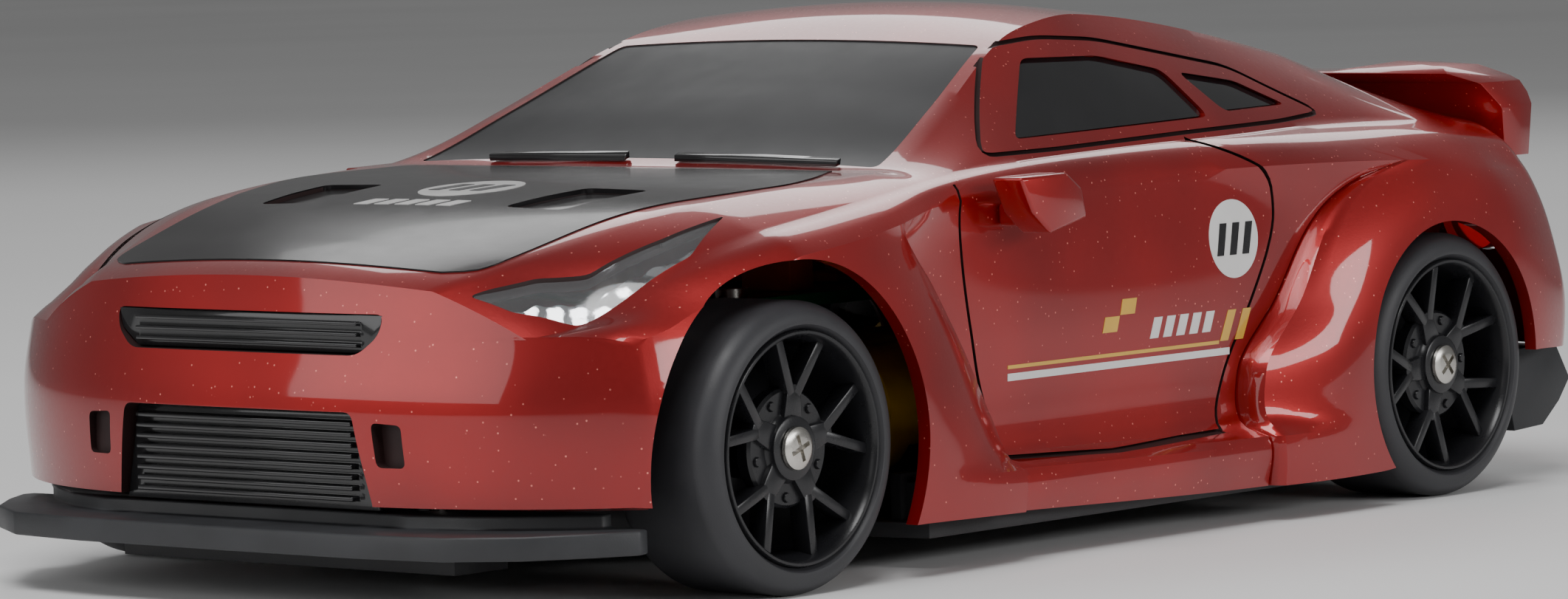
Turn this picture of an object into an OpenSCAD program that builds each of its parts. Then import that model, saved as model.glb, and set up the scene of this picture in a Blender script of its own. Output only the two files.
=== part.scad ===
// Radio controlled drift car, rear wheel drive, about 1:24 size.
// +X is the car's left, the nose points along -Y, +Z is up and the ground is z = 0.

/* [Wheels] */
// Distance between the axles
wheelbase = 116; // [112:1:118]
// Radius of the tyres, which is also the height of the axles
tyre_r = 15.2; // [15:0.1:15.4]
// Width of a tyre
tyre_w = 14; // [13:0.5:14]
// Distance between the outer faces of two opposite tyres
track_w = 98.6; // [98:0.2:99]

/* [Body] */
// Wall of the moulded body shell
wall = 1.6; // [1.4:0.1:1.8]
// Radius of the front wheel arches
front_arch_r = 19.4; // [19:0.1:20]
// Radius of the rear wheel arches
rear_arch_r = 16.6; // [16.4:0.1:17]
// Height of the front splitter's underside
splitter_z = 6; // [5.8:0.1:6.4]

/* [Chassis] */
// Height of the chassis floor's underside
floor_z = 3.4; // [3:0.1:3.6]
// Thickness of the chassis floor
floor_t = 1.6; // [1.2:0.1:1.7]

/* [Drive] */
// Teeth of the motor pinion
pinion_teeth = 10; // [10:1:10]
// Teeth of the spur gear on the rear axle
spur_teeth = 30; // [30:1:30]
// Gear module
gear_module = 0.5; // [0.5:0.1:0.5]

/* [Hidden] */
$fn = 48;

front_y = -56;
rear_y = front_y + wheelbase;
wheel_x = track_w / 2 - tyre_w / 2;
kingpin_x = 33;
nose_s = -89.3;
tail_s = 94.3;
rear_blend_s = 60;
eps = 0.01;

// ---------- smooth lines ----------
function between(a, b, t) = a + (b - a) * t;
function clip(t) = min(max(t, 0), 1);
function step_index(keys, s, i = 0) =
  (i >= len(keys) - 2 || s < keys[i + 1][0]) ? i : step_index(keys, s, i + 1);
function key_slope(keys, i) =
  let (a = max(i - 1, 0), b = min(i + 1, len(keys) - 1))
  (keys[b][1] - keys[a][1]) / (keys[b][0] - keys[a][0]);
// Value at s on the smooth curve through keys, each [place, value]
function along(keys, s) =
  let (i = step_index(keys, s), h = keys[i + 1][0] - keys[i][0], t = clip((s - keys[i][0]) / h))
  (2 * t * t * t - 3 * t * t + 1) * keys[i][1]
  + (t * t * t - 2 * t * t + t) * h * key_slope(keys, i)
  + (3 * t * t - 2 * t * t * t) * keys[i + 1][1]
  + (t * t * t - t * t) * h * key_slope(keys, i + 1);

// ---------- body lines: place along the car, then height or [half width, height] ----------
centre_line = [[-89.3, 34.3], [-78, 36.9], [-63, 39.8], [-47, 41.3], [-30, 42], [-26, 42.3],
  [-10, 49.4], [4, 55.4], [11, 57.7], [19, 58.6], [28, 58.2], [40, 56.4], [60, 52.2],
  [76, 47.2], [86, 44.2], [94.3, 43]];
ridge_line = [[-89.3, [25.5, 33]], [-78, [29.5, 35.8]], [-63, [33, 39]], [-47, [36, 40.8]],
  [-30, [36.6, 41.8]], [-24, [35.8, 42.2]], [-12, [32.6, 47.3]], [4, [28, 54.6]],
  [12, [26.8, 56.5]], [20, [26.2, 57.1]], [38, [25.4, 55.2]], [60, [25.4, 51]],
  [76, [29, 46.4]], [86, [34, 43.4]], [94.3, [36, 42.3]]];
belt_line = [[-89.3, [36, 28]], [-82.5, [37.5, 29.3]], [-75, [40, 33.2]], [-67.5, [42, 35.4]],
  [-56, [43.5, 37.2]], [-40, [43.4, 39.2]], [-26, [41.6, 40.8]], [-12, [40, 41.9]],
  [10, [39, 42.6]], [35, [38.3, 43]], [50, [38, 43.3]], [66, [39.6, 42.9]],
  [82, [41.5, 41.8]], [94.3, [41, 41]]];
shoulder_line = [[-89.3, [45, 27.5]], [-78, [46.5, 31]], [-68, [48, 33]], [-56, [49.2, 34.9]],
  [-47, [49, 35.9]], [-38, [47.6, 37]], [-28, [44.6, 38.3]], [-16, [43.2, 38.9]],
  [0, [42.4, 39.3]], [22, [42.7, 39.5]], [36, [44.4, 39.5]], [48, [46.2, 39.3]],
  [62, [47, 38.8]], [76, [46.6, 38.3]], [86, [45.4, 37.6]], [94.3, [44.5, 37]]];
sill_line = [[-89.3, 10.4], [-72, 10.4], [-58, 5.8], [-37, 5.8], [45, 4.2], [60, 8], [74, 15],
  [94.3, 15.5]];
door_profile = [[4, 47.6], [9.6, 48], [10.8, 44.4], [16, 43.3], [25, 43.6], [33, 43.4], [39.5, 42.5]];
front_crease = [[4, -18.8], [11, -18.8], [18, -22.2], [26, -27.4], [33, -32.2], [37.6, -37.8], [40, -46]];
rear_crease = [[4, 26.3], [17, 26.8], [24.4, 33.6], [33, 40.7], [37.2, 47.6], [39.6, 57.6]];
corner_inset = [[10, 1.6], [14, 0.4], [20, 0], [28, 0.8], [34, 1]];
flare_x = 50;
flare_step = 2.6;
flare_span = 16;

// Share of the flare that shows at distance d inside its crease
function flare_share(d, gap) =
  let (step = min(flare_step, 0.6 * gap))
  d <= 0 ? 0 : (step * clip(d / 0.9) + (gap - step) * (1 - pow(1 - clip(d / flare_span), 2))) / gap;
// Half width of the body side at station s and height z
function side_x(s, z) =
  let (door = along(door_profile, z), gap = flare_x - door,
    front = flare_share(along(front_crease, z) - s, gap),
    rear = flare_share(s - along(rear_crease, z), gap),
    full = door + gap * max(front, rear),
    nose = clip((-58 - s) / 31), tail = clip((s - 76) / 18))
  full - nose * (3.4 + along(corner_inset, z)) * nose - tail * tail * (3.2 + along(corner_inset, z));
// How far the nose and the tail curve away from their foremost and rearmost points
function nose_bow(x) = 13 * pow(abs(x) / 45, 3.5);
function nose_lean(z) = along([[9.5, 1], [20.7, 0.2], [29, 2], [34.6, 3], [60, 3]], z);
function tail_bow(x) = 5 * pow(abs(x) / 45, 3.5);
function tail_lean(z) = along([[10, 1], [18, 0], [23, 0], [29.5, 1.9], [36, 5], [41, 8], [60, 8]], z);
function real_y(s, x, z) =
  s + (nose_bow(x) + nose_lean(z)) * clip((front_y - s) / (front_y - nose_s))
  - (tail_bow(x) + tail_lean(z)) * clip((s - rear_blend_s) / (tail_s - rear_blend_s));
function placed(s, p) = [p[0], real_y(s, p[0], p[1]), p[1]];

side_levels = [0, 0.13, 0.18, 0.4, 0.6, 0.8, 0.93];
side_steps = len(side_levels);
roof_steps = 4;
// Point across the roof or the bonnet: f = 1 at the ridge, 0 at the centre
function roof_point(s, f) =
  let (r = along(ridge_line, s), c = along(centre_line, s)) [r[0] * f, c + (r[1] - c) * f * f];
// Point up the side glass: g = 0 at the belt, 1 at the ridge
function glass_point(s, g) =
  let (b = along(belt_line, s), r = along(ridge_line, s)) between(b, r, g) + [1, 0.4] * 1.6 * g * (1 - g);
// Half section at station s, from the sill to the centre
function half_section(s) =
  let (low = along(sill_line, s), sh = along(shoulder_line, s), b = along(belt_line, s))
  concat(
    [for (level = side_levels) let (z = between(low, sh[1], level))
      [between(side_x(s, z), sh[0], pow(level, 6)), z]],
    [sh, between(sh, b, 0.55) + [0.5, 0.5]],
    [for (g = [0:0.34:0.9]) glass_point(s, g)],
    [for (i = [0:roof_steps]) roof_point(s, 1 - i / roof_steps)]);
half_count = side_steps + 2 + 3 + roof_steps + 1;
ridge_index = side_steps + 2 + 3;
ring_count = 2 * half_count - 1;

function unit(v) = v / max(norm(v), eps);
// The half section moved inwards by t, with its foot left at the same height
function inner_half(s, t) =
  let (h = half_section(s))
  [for (i = [0:half_count - 1])
    let (a = h[max(i - 1, 0)], b = i == half_count - 1 ? [-h[i - 1][0], h[i - 1][1]] : h[i + 1],
      d = unit(b - a))
    i == 0 ? h[0] - [t, 0] : h[i] + t * [-d[1], d[0]]];
function full_ring(half) =
  concat(half, [for (i = [half_count - 2:-1:0]) [-half[i][0], half[i][1]]]);
cols = 2 * roof_steps;
// Rows of points for one skin: its rings, then the inner points of its nose and tail caps
function skin_points(stations, rings, nose_extra) =
  let (n = len(stations))
  concat(
    [for (i = [0:n - 1]) for (p = rings[i])
      placed(stations[i], p) + [0, i == 0 ? nose_extra * nose_share(p[0]) : 0, 0]],
    [for (e = [0, n - 1]) for (k = [0:ridge_index - 1]) for (j = [1:cols - 1])
      let (p = rings[e][k], x = p[0] * (1 - 2 * j / cols))
      placed(stations[e], [x, p[1]]) + [0, e == 0 ? nose_extra * nose_share(x) : 0, 0]]);
function nose_share(x) = clip((32 - abs(x)) / 14);
function cap_index(n, e, k, j) =
  let (base = (e == 0 ? 0 : n - 1) * ring_count)
  k == ridge_index ? base + ridge_index + j
  : j == 0 ? base + k
  : j == cols ? base + ring_count - 1 - k
  : n * ring_count + ((e == 0 ? 0 : ridge_index) + k) * (cols - 1) + j - 1;
function skin_faces(n) = concat(
  [for (i = [0:n - 2]) for (j = [0:ring_count - 2])
    let (a = i * ring_count + j, b = a + 1)
    each [[a, b, b + ring_count], [a, b + ring_count, a + ring_count]]],
  [for (e = [0, 1]) for (k = [0:ridge_index - 1]) for (j = [0:cols - 1])
    let (a = cap_index(n, e, k, j), b = cap_index(n, e, k, j + 1),
      c = cap_index(n, e, k + 1, j + 1), d = cap_index(n, e, k + 1, j))
    each (e == 0 ? [[a, b, c], [a, c, d]] : [[a, c, b], [a, d, c]])]);
// The foot of a skin as one loop: along the left sill, across the tail, back and across the nose
function foot_loop(n) = concat(
  [for (i = [0:n - 1]) i * ring_count],
  [for (j = [1:cols - 1]) cap_index(n, 1, 0, j)],
  [for (i = [n - 1:-1:0]) i * ring_count + ring_count - 1],
  [for (j = [cols - 1:-1:1]) cap_index(n, 0, 0, j)]);

outer_stations = [-89.3, -87.6, -83, -77, -70, -64, -57, -50, -44, -39, -34, -29, -24, -18, -10, 0, 10,
  20, 29, 38, 47, 56, 65, 75, 84, 90, 94.3];
station_count = len(outer_stations);
inner_stations = [for (s = outer_stations) between(-87.4, 92.4, (s - nose_s) / (tail_s - nose_s))];
outer_points = skin_points(outer_stations, [for (s = outer_stations)
  let (edge = (s == nose_s || s == tail_s) ? 0.97 : 1)
  full_ring([for (p = half_section(s)) [p[0] * edge, between(22, p[1], edge)]])], 0);

// The body's outer form, filled in
module body_solid() {
  n = station_count;
  left = [for (i = [0:n - 1]) i * ring_count];
  right = [for (i = [0:n - 1]) i * ring_count + ring_count - 1];
  polyhedron(outer_points, concat(skin_faces(n),
    [for (i = [0:n - 2]) each [[right[i], left[i], left[i + 1]], [right[i], left[i + 1], right[i + 1]]]],
    [[for (j = [cols:-1:0]) cap_index(n, 0, 0, j)], [for (j = [0:cols]) cap_index(n, 1, 0, j)]]));
}
// The moulded wall: an outer and an inner skin joined round the foot
module body_wall() {
  n = station_count;
  shift = len(outer_points);
  inner_points = skin_points(inner_stations, [for (s = inner_stations) full_ring(inner_half(s, wall))], 2.6);
  loop = foot_loop(n);
  m = len(loop);
  polyhedron(concat(outer_points, inner_points), concat(
    skin_faces(n),
    [for (f = skin_faces(n)) [f[0] + shift, f[2] + shift, f[1] + shift]],
    [for (i = [0:m - 1])
      let (a = loop[i], b = loop[(i + 1) % m])
      each [[a, b, b + shift], [a, b + shift, a + shift]]]));
}
// Point on the skin between the belt and the ridge, sunk by inset
function side_skin(s, g, inset) = glass_point(s, g) - [1, 0.75] * inset;
function top_skin(s, f, inset) = roof_point(s, f) - [0.25 * f, 1] * inset;
// A thin closed plate that follows a grid of skin points: upper and lower are lists of rows
module skin_plate(upper, lower) {
  n = len(upper);
  m = len(upper[0]);
  pts = concat([for (r = upper) each r], [for (r = lower) each r]);
  function at(i, j, side) = side * n * m + i * m + j;
  faces = concat(
    [for (i = [0:n - 2]) for (j = [0:m - 2])
      each [[at(i, j, 0), at(i, j + 1, 0), at(i + 1, j + 1, 0)], [at(i, j, 0), at(i + 1, j + 1, 0), at(i + 1, j, 0)],
        [at(i, j, 1), at(i + 1, j + 1, 1), at(i, j + 1, 1)], [at(i, j, 1), at(i + 1, j, 1), at(i + 1, j + 1, 1)]]],
    [for (i = [0:n - 2]) each [
      [at(i, 0, 0), at(i + 1, 0, 0), at(i + 1, 0, 1)], [at(i, 0, 0), at(i + 1, 0, 1), at(i, 0, 1)],
      [at(i, m - 1, 0), at(i + 1, m - 1, 1), at(i + 1, m - 1, 0)], [at(i, m - 1, 0), at(i, m - 1, 1), at(i + 1, m - 1, 1)]]],
    [for (j = [0:m - 2]) each [
      [at(0, j, 0), at(0, j + 1, 1), at(0, j + 1, 0)], [at(0, j, 0), at(0, j, 1), at(0, j + 1, 1)],
      [at(n - 1, j, 0), at(n - 1, j + 1, 0), at(n - 1, j + 1, 1)], [at(n - 1, j, 0), at(n - 1, j + 1, 1), at(n - 1, j, 1)]]]);
  polyhedron(pts, faces);
}
module top_plate(stations, reach, inset, thick) {
  fs = [for (i = [-5:5]) reach * i / 5];
  skin_plate(
    [for (s = stations) [for (f = fs) let (p = top_skin(s, abs(f), inset)) placed(s, [sign(f) * p[0], p[1]])]],
    [for (s = stations) [for (f = fs) let (p = top_skin(s, abs(f), inset + thick)) placed(s, [sign(f) * p[0], p[1]])]]);
}
module side_plate(stations, low, high, inset, thick) {
  gs = [for (i = [0:5]) between(low, high, i / 5)];
  skin_plate(
    [for (s = stations) [for (g = gs) placed(s, side_skin(s, g, inset))]],
    [for (s = stations) [for (g = gs) placed(s, side_skin(s, g, inset + thick))]]);
}
module both_sides() {
  children();
  mirror([1, 0, 0]) children();
}
// Extrude a front view [x, z] along Y, a side view [y, z] along X
module from_front(y0, y1) {
  translate([0, y1, 0]) rotate([90, 0, 0]) linear_extrude(y1 - y0) children();
}
module from_side(x0, x1) {
  translate([x0, 0, 0]) rotate([90, 0, 90]) linear_extrude(x1 - x0) children();
}
module bar_x(r, x0, x1, y, z) {
  translate([x0, y, z]) rotate([0, 90, 0]) cylinder(r = r, h = x1 - x0);
}
module bar_z(r, z0, z1, x, y) {
  translate([x, y, z0]) cylinder(r = r, h = z1 - z0);
}
module bar_y(r, y0, y1, x, z) {
  translate([x, y0, z]) rotate([-90, 0, 0]) cylinder(r = r, h = y1 - y0);
}
module box(low, high) {
  translate(low) cube(high - low);
}

// ---------- openings in the body ----------
fit = 0.12;
screen_stations = [-24.5, -17, -10, -3, 2.8];
rear_glass_stations = [37, 44, 51, 58, 65];
screen_reach = 0.93;
door_glass = [[-5.4, 44.4], [5.2, 52.6], [18, 52.4], [28.6, 50.4], [31, 45.2]];
quarter_glass = [[35, 45.6], [31.8, 50], [41.5, 48.6], [47.4, 45.8]];
lamp_outline = [[28.2, -83], [31.4, -76.6], [35, -72.6], [37.6, -64], [39, -56], [41.2, -64], [39.2, -70.6],
  [36.8, -77], [32.4, -81.2]];
upper_mouth = [[-19.2, 30.3], [19.2, 30.3], [18.8, 28.1], [16.4, 26.1], [-16.4, 26.1], [-18.8, 28.1]];
lower_mouth = [[-16.4, 20.4], [16.4, 20.4], [18.4, 10.1], [-18.4, 10.1]];
fog_mouth = [[18.4, 19.4], [22.8, 19.2], [23, 14.8], [18.9, 14.8]];
tail_lamp_places = [[23, 31], [34, 31]];

module plan_window(stations, reach, grow, z0, z1) {
  edge = [for (s = stations) [along(ridge_line, s)[0] * reach + grow, s]];
  translate([0, 0, z0]) linear_extrude(z1 - z0)
    polygon(concat(edge, [for (i = [len(edge) - 1:-1:0]) [-edge[i][0], edge[i][1]]]));
}
module arch_cuts() {
  both_sides() {
    bar_x(front_arch_r, 28, 60, front_y, tyre_r);
    bar_x(rear_arch_r, 28, 60, rear_y, tyre_r);
  }
}
// The wall with its openings, brought to its overall width
module shell_skin() {
  resize([2 * flare_x, 0, 0]) difference() {
    body_wall();
    arch_cuts();
    plan_window(screen_stations, screen_reach, fit, 41, 62);
    plan_window(rear_glass_stations, 0.9, fit, 44, 62);
    both_sides() {
      from_side(24, 60) offset(delta = fit) polygon(door_glass);
      from_side(24, 60) offset(delta = fit) polygon(quarter_glass);
      translate([0, 0, 24]) linear_extrude(20) offset(delta = fit) polygon(lamp_outline);
      from_front(-95, -87) polygon(fog_mouth);
      for (p = tail_lamp_places) bar_y(4.6, 84, 100, p[0], p[1], $fn = 24);
      vent_outline(fit, 36, 46);
    }
    from_front(-95, -85.2) polygon(upper_mouth);
    from_front(-95, -86) polygon(lower_mouth);
  }
}
module body_shell() {
  color("firebrick") difference() {
    union() {
      shell_skin();
      both_sides() for (p = body_posts) bar_z(2.4, post_foot, p[2], p[0], p[1]);
    }
    both_sides() for (p = body_posts) bar_z(0.9, post_foot - 1, post_foot + 12, p[0], p[1]);
  }
}
module vent_outline(grow, z0, z1) {
  edge = [for (s = [-62, -50]) along(ridge_line, s)[0] * [0.42, 0.66]];
  translate([0, 0, z0]) linear_extrude(z1 - z0) polygon([[edge[0][0] - grow, -62 - grow],
    [edge[0][1] + grow, -62 - grow], [edge[1][1] + grow, -50 + grow], [edge[1][0] - grow, -50 + grow]]);
}

// ---------- glass, lamps and trim ----------
module windscreen() {
  color("dimgray") top_plate(screen_stations, screen_reach, 0.15, 1.2);
}
module rear_window() {
  color("dimgray") top_plate(rear_glass_stations, 0.9, 0.15, 1.2);
}
module left_windows() {
  color("black") intersection() {
    side_plate([-10, 4, 18, 32, 46, 52], 0, 1, 0.3, 1.1);
    from_side(20, 60) {
      polygon(door_glass);
      polygon(quarter_glass);
    }
  }
}
module right_windows() {
  mirror([1, 0, 0]) left_windows();
}
lamp_stations = [-89.2, -84, -79, -74, -69, -64, -59, -53];
module left_headlight_lens() {
  color("whitesmoke") intersection() {
    side_plate(lamp_stations, -0.1, 1.1, 0.35, 0.8);
    translate([0, 0, 20]) linear_extrude(24) polygon(lamp_outline);
  }
}
module right_headlight_lens() {
  mirror([1, 0, 0]) left_headlight_lens();
}
module left_headlight_bowl() {
  color("silver") intersection() {
    side_plate(lamp_stations, -0.1, 1.1, 2.6, 0.8);
    translate([0, 0, 18]) linear_extrude(24) offset(delta = -0.3) polygon(lamp_outline);
  }
}
module right_headlight_bowl() {
  mirror([1, 0, 0]) left_headlight_bowl();
}
module headlight_leds() {
  color("white") both_sides() {
    bar_y(1.5, -76.6, -71.2, 33.5, 25.2);
    bar_y(1.8, -71.2, -70.2, 33.5, 25.2);
  }
}
module tail_lamps() {
  color("darkred") both_sides() for (p = tail_lamp_places)
    bar_y(4.4, 86.8, real_y(tail_s, p[0], p[1]) - 0.3, p[0], p[1]);
}
module upper_grille() {
  color("black") {
    from_front(-86.4, -85.25) offset(delta = -fit) polygon(upper_mouth);
    for (z = [27.1, 28.2, 29.3]) box([-16, -87.2, z - 0.2], [16, -86.3, z + 0.2]);
  }
}
module lower_grille() {
  color("black") {
    from_front(-86.8, -86.05) offset(delta = -fit) polygon(lower_mouth);
    for (i = [0:7]) let (z = 11.4 + i * 1.1) box([-15.6, -88, z - 0.25], [15.6, -86.7, z + 0.25]);
  }
}
module bonnet_vents() {
  color("black") both_sides() {
    rows = [for (s = [-62, -58, -54, -50]) [for (f = [0.42, 0.5, 0.58, 0.66]) [s, f]]];
    skin_plate(
      [for (r = rows) [for (q = r) placed(q[0], top_skin(q[0], q[1], 0.4))]],
      [for (r = rows) [for (q = r) placed(q[0], top_skin(q[0], q[1], 1.5))]]);
  }
}
module wipers() {
  color("black") for (reach = [[-0.6, -0.04], [0.16, 0.8]]) {
    fs = [for (i = [0:5]) between(reach[0], reach[1], i / 5)];
    skin_plate(
      [for (s = [-25.6, -24.7]) [for (f = fs) let (p = top_skin(s, abs(f), -0.9)) placed(s, [sign(f) * p[0], p[1]])]],
      [for (s = [-25.6, -24.7]) [for (f = fs) let (p = top_skin(s, abs(f), -0.15)) placed(s, [sign(f) * p[0], p[1]])]]);
  }
}
splitter_edge = [[0, -93], [20, -92.8], [31, -91.4], [38, -87], [42.4, -81.4], [45, -77], [44.6, -75.4],
  [42, -75.2], [28, -75.2], [26, -72], [0, -72]];
step_edge = [[0, -85.8], [19, -85.8], [22, -86.6], [29, -84.4], [36, -80], [40, -77], [40, -75.6], [28, -75.6],
  [26, -73], [0, -73]];
module mirrored_outline(edge) {
  polygon(concat(edge, [for (i = [len(edge) - 2:-1:1]) [-edge[i][0], edge[i][1]]]));
}
module front_splitter() {
  color("black") difference() {
    union() {
      translate([0, 0, splitter_z]) linear_extrude(2.5) mirrored_outline(splitter_edge);
      translate([0, 0, splitter_z + 2.5]) linear_extrude(1.4) mirrored_outline(step_edge);
    }
    both_sides() bar_z(3, 0, 12, body_posts[0][0], body_posts[0][1]);
    box([-24.3, -82.3, 0], [24.3, -60, 7.9]);
  }
}
module rear_diffuser() {
  color("black") difference() {
    union() {
      box([-42, 79, 13.6], [42, 91, 15.2]);
      for (x = [-42.8, -28.8, -14.8, 13.2, 27.2, 41.2])
        from_side(x, x + 1.6) polygon([[79.5, 15.2], [91, 15.2], [93.8, 11], [91.5, 8.4], [88, 5.8], [82, 5.5]]);
    }
    both_sides() bar_z(2.8, 0, 20, body_posts[1][0], body_posts[1][1]);
  }
}
module rear_wing() {
  color("firebrick") difference() {
    intersection() {
      from_side(-42, 42)
        polygon([[77, 48], [78, 48.6], [81, 49.4], [85, 49.2], [88.6, 47.4], [89.4, 45.4], [88.4, 38], [83.4, 38],
          [83, 43.6], [80.6, 46.6]]);
      from_front(70, 95) polygon([[-20, 48.2], [-28, 49.4], [-36, 48.8], [-39.8, 46.8], [-41.2, 44], [-41.2, 36],
        [41.2, 36], [41.2, 44], [39.8, 46.8], [36, 48.8], [28, 49.4], [20, 48.2]]);
    }
    body_solid();
  }
}
module left_mirror() {
  color("firebrick") {
    from_side(45.6, 49.8)
      polygon([[-20, 41], [-12, 41.2], [-9.4, 39.4], [-8.6, 36.2], [-15, 34.8], [-18, 37.2]]);
    box([side_x(-16, 35.6) + 0.2, -16, 35.6], [45.7, -11.6, 38]);
  }
}
module right_mirror() {
  mirror([1, 0, 0]) left_mirror();
}

// ---------- chassis ----------
floor_top = floor_z + floor_t;
body_posts = [[19, -79, 34.2], [22, 84, 40]];
post_foot = 8;
deck_posts = [[15, -64], [15, -52]];
upper_z = 22;
board_z = 27;
board_posts = [[-20, -33], [20, -33], [-20, 24], [6, 24]];
floor_edge = [[0, -82], [24, -82], [24, -74], [16, -70], [16, -42], [27, -34], [45, -31], [45, 38], [41, 42],
  [28, 44], [28, 77], [31, 80], [31, 86], [27, 89], [0, 89]];
door_low = [5, -25];
door_high = [35, 21];
knob_x = -34;
knob_y = -18;
module chassis_tub() {
  color("black") difference() {
    union() {
      translate([0, 0, floor_z]) linear_extrude(floor_t) mirrored_outline(floor_edge);
      both_sides() {
        box([39, -30, floor_top - eps], [40.4, 37, 10]);
        box([40, -29, floor_top - eps], [41.4, -27, 9]);
        for (p = body_posts) bar_z(2.7, floor_top - eps, post_foot - 0.1, p[0], p[1]);
        for (p = deck_posts) bar_z(1.9, floor_top - eps, upper_z, p[0], p[1]);
      }
      for (p = board_posts) bar_z(1.8, floor_top - eps, board_z, p[0], p[1]);
      box([-26, 74, floor_top - eps], [26, 76, 9]);
      box([-15, -71.9, floor_top - eps], [15, -70.4, 11]);
    }
    translate([door_low[0] - 0.15, door_low[1] - 0.15, 0])
      cube([door_high[0] - door_low[0] + 0.3, door_high[1] - door_low[1] + 0.3, floor_top + 0.1]);
    box([knob_x - 1.3, knob_y - 1.6, 0], [knob_x + 1.3, knob_y + 4.6, floor_top + 0.1]);
    both_sides() for (p = body_posts) {
      bar_z(1.1, 0, post_foot, p[0], p[1]);
      bar_z(2.2, 0, floor_z + 1.1, p[0], p[1]);
    }
    bar_z(1.1, 0, 8, 20, 23.4);
  }
}
module body_screws() {
  color("silver") both_sides() for (p = body_posts) difference() {
    union() {
      bar_z(0.85, floor_z + 1, post_foot + 8, p[0], p[1]);
      bar_z(2, floor_z + 0.1, floor_z + 1.1, p[0], p[1]);
    }
    cross_slot(p, floor_z);
  }
}
module cross_slot(p, z) {
  box([p[0] - 1.2, p[1] - 0.25, z], [p[0] + 1.2, p[1] + 0.25, z + 0.7]);
  box([p[0] - 0.25, p[1] - 1.2, z], [p[0] + 0.25, p[1] + 1.2, z + 0.7]);
}
kingpin_r = 1;
arm_low = 6.3;
arm_high = 8.3;
module arm_plate(root, half_w) {
  polygon([[root, front_y - 8], [kingpin_x - 4, front_y - half_w], [kingpin_x + 2, front_y - half_w],
    [kingpin_x + 3, front_y - half_w + 1], [kingpin_x + 3, front_y + half_w - 1], [kingpin_x + 2, front_y + half_w],
    [kingpin_x - 4, front_y + half_w], [root, front_y + 8]]);
}
module lower_arms() {
  color("dimgray") both_sides() difference() {
    union() {
      translate([0, 0, arm_low]) linear_extrude(arm_high - arm_low) arm_plate(17.2, 3);
      box([12, front_y - 8, floor_top], [19, front_y + 8, arm_high]);
    }
    bar_z(kingpin_r, 0, 12, kingpin_x, front_y);
    for (p = deck_posts) bar_z(2, 0, 12, p[0], p[1]);
  }
}
module upper_arms() {
  color("dimgray") difference() {
    union() {
      both_sides() translate([0, 0, upper_z]) linear_extrude(2) arm_plate(17, 3);
      box([-18, front_y - 10.4, upper_z], [18, front_y + 6.4, upper_z + 2]);
    }
    both_sides() {
      bar_z(kingpin_r, 20, 30, kingpin_x, front_y);
      for (p = deck_posts) bar_z(0.8, 20, 30, p[0], p[1]);
    }
    bar_z(4, 20, 30, 0, front_y);
  }
}
module square_between(low, high) {
  translate(low) square(high - low);
}
module kingpins() {
  color("silver") both_sides() {
    bar_z(kingpin_r, arm_low + 0.2, upper_z + 2, kingpin_x, front_y);
    bar_z(1.8, upper_z + 2, upper_z + 2.8, kingpin_x, front_y);
  }
}

// ---------- steering ----------
steer_arm = 8;
link_low = 18.9;
stub_r = 1.25;
running = 0.05;
module left_knuckle() {
  color("dimgray") difference() {
    union() {
      box([kingpin_x - 2.6, front_y - 3.4, arm_high + 0.6], [kingpin_x + 3, front_y + 3.4, upper_z - 0.6]);
      box([kingpin_x - 1.6, front_y, link_low - 1.7], [kingpin_x + 1.6, front_y + steer_arm, link_low - 0.3]);
      bar_z(1.6, link_low - 1.7, link_low - 0.3, kingpin_x, front_y + steer_arm);
      bar_z(0.8, link_low - 0.4, link_low + 1.7, kingpin_x, front_y + steer_arm);
      bar_x(2.4, kingpin_x + 3, kingpin_x + 4.4, front_y, tyre_r);
      bar_x(stub_r, kingpin_x + 3, 46.6, front_y, tyre_r);
    }
    bar_z(kingpin_r + running, 0, 30, kingpin_x, front_y);
    bar_x(0.7, 40, 47, front_y, tyre_r);
  }
}
module right_knuckle() {
  mirror([1, 0, 0]) left_knuckle();
}
module link_slot(x) {
  translate([x, front_y + steer_arm, 0]) {
    box([-1, -1.1, 0], [1, 0.9, 30]);
    bar_z(1, 0, 30, 0, -1.1);
    bar_z(1, 0, 30, 0, 0.9);
  }
}
module steering_link() {
  color("dimgray") difference() {
    translate([0, 0, link_low]) linear_extrude(1.2) {
      square_between([-33, front_y + steer_arm - 1.9], [33, front_y + steer_arm + 1.7]);
      for (x = [-kingpin_x, 0, kingpin_x])
        square_between([x - 1.9, front_y + steer_arm - 3.2], [x + 1.9, front_y + steer_arm + 2.6]);
    }
    for (x = [-kingpin_x, 0, kingpin_x]) link_slot(x);
  }
}
module servo_case() {
  color("navy") difference() {
    union() {
      box([-6, front_y - 4.6, floor_top + 0.05], [11, front_y + 4.6, 15.6]);
      box([-9.6, front_y - 4.6, 11], [14.6, front_y + 1.8, 12.4]);
      bar_z(2.9, 15.5, 16.6, 0, front_y);
      bar_z(2, 15.5, 16, 6, front_y);
    }
    for (x = [-7.9, 12.9]) bar_z(0.75, 10, 13, x, front_y);
    bar_z(1.3, 14, 17, 0, front_y);
  }
}
module servo_horn() {
  color("white") {
    bar_z(1.25, 14.1, 17, 0, front_y);
    bar_z(2.3, link_low - 2, link_low - 0.4, 0, front_y);
    box([-1.3, front_y, link_low - 2], [1.3, front_y + steer_arm, link_low - 0.4]);
    bar_z(1.3, link_low - 2, link_low - 0.4, 0, front_y + steer_arm);
    bar_z(0.8, link_low - 0.5, link_low + 1.7, 0, front_y + steer_arm);
  }
}
// ---------- wheels ----------
bead_r = 12.2;
face_x = track_w / 2;
spokes = 5;
module wheel_place(y) {
  translate([0, y, tyre_r]) rotate([0, 90, 0]) children();
}
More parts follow.
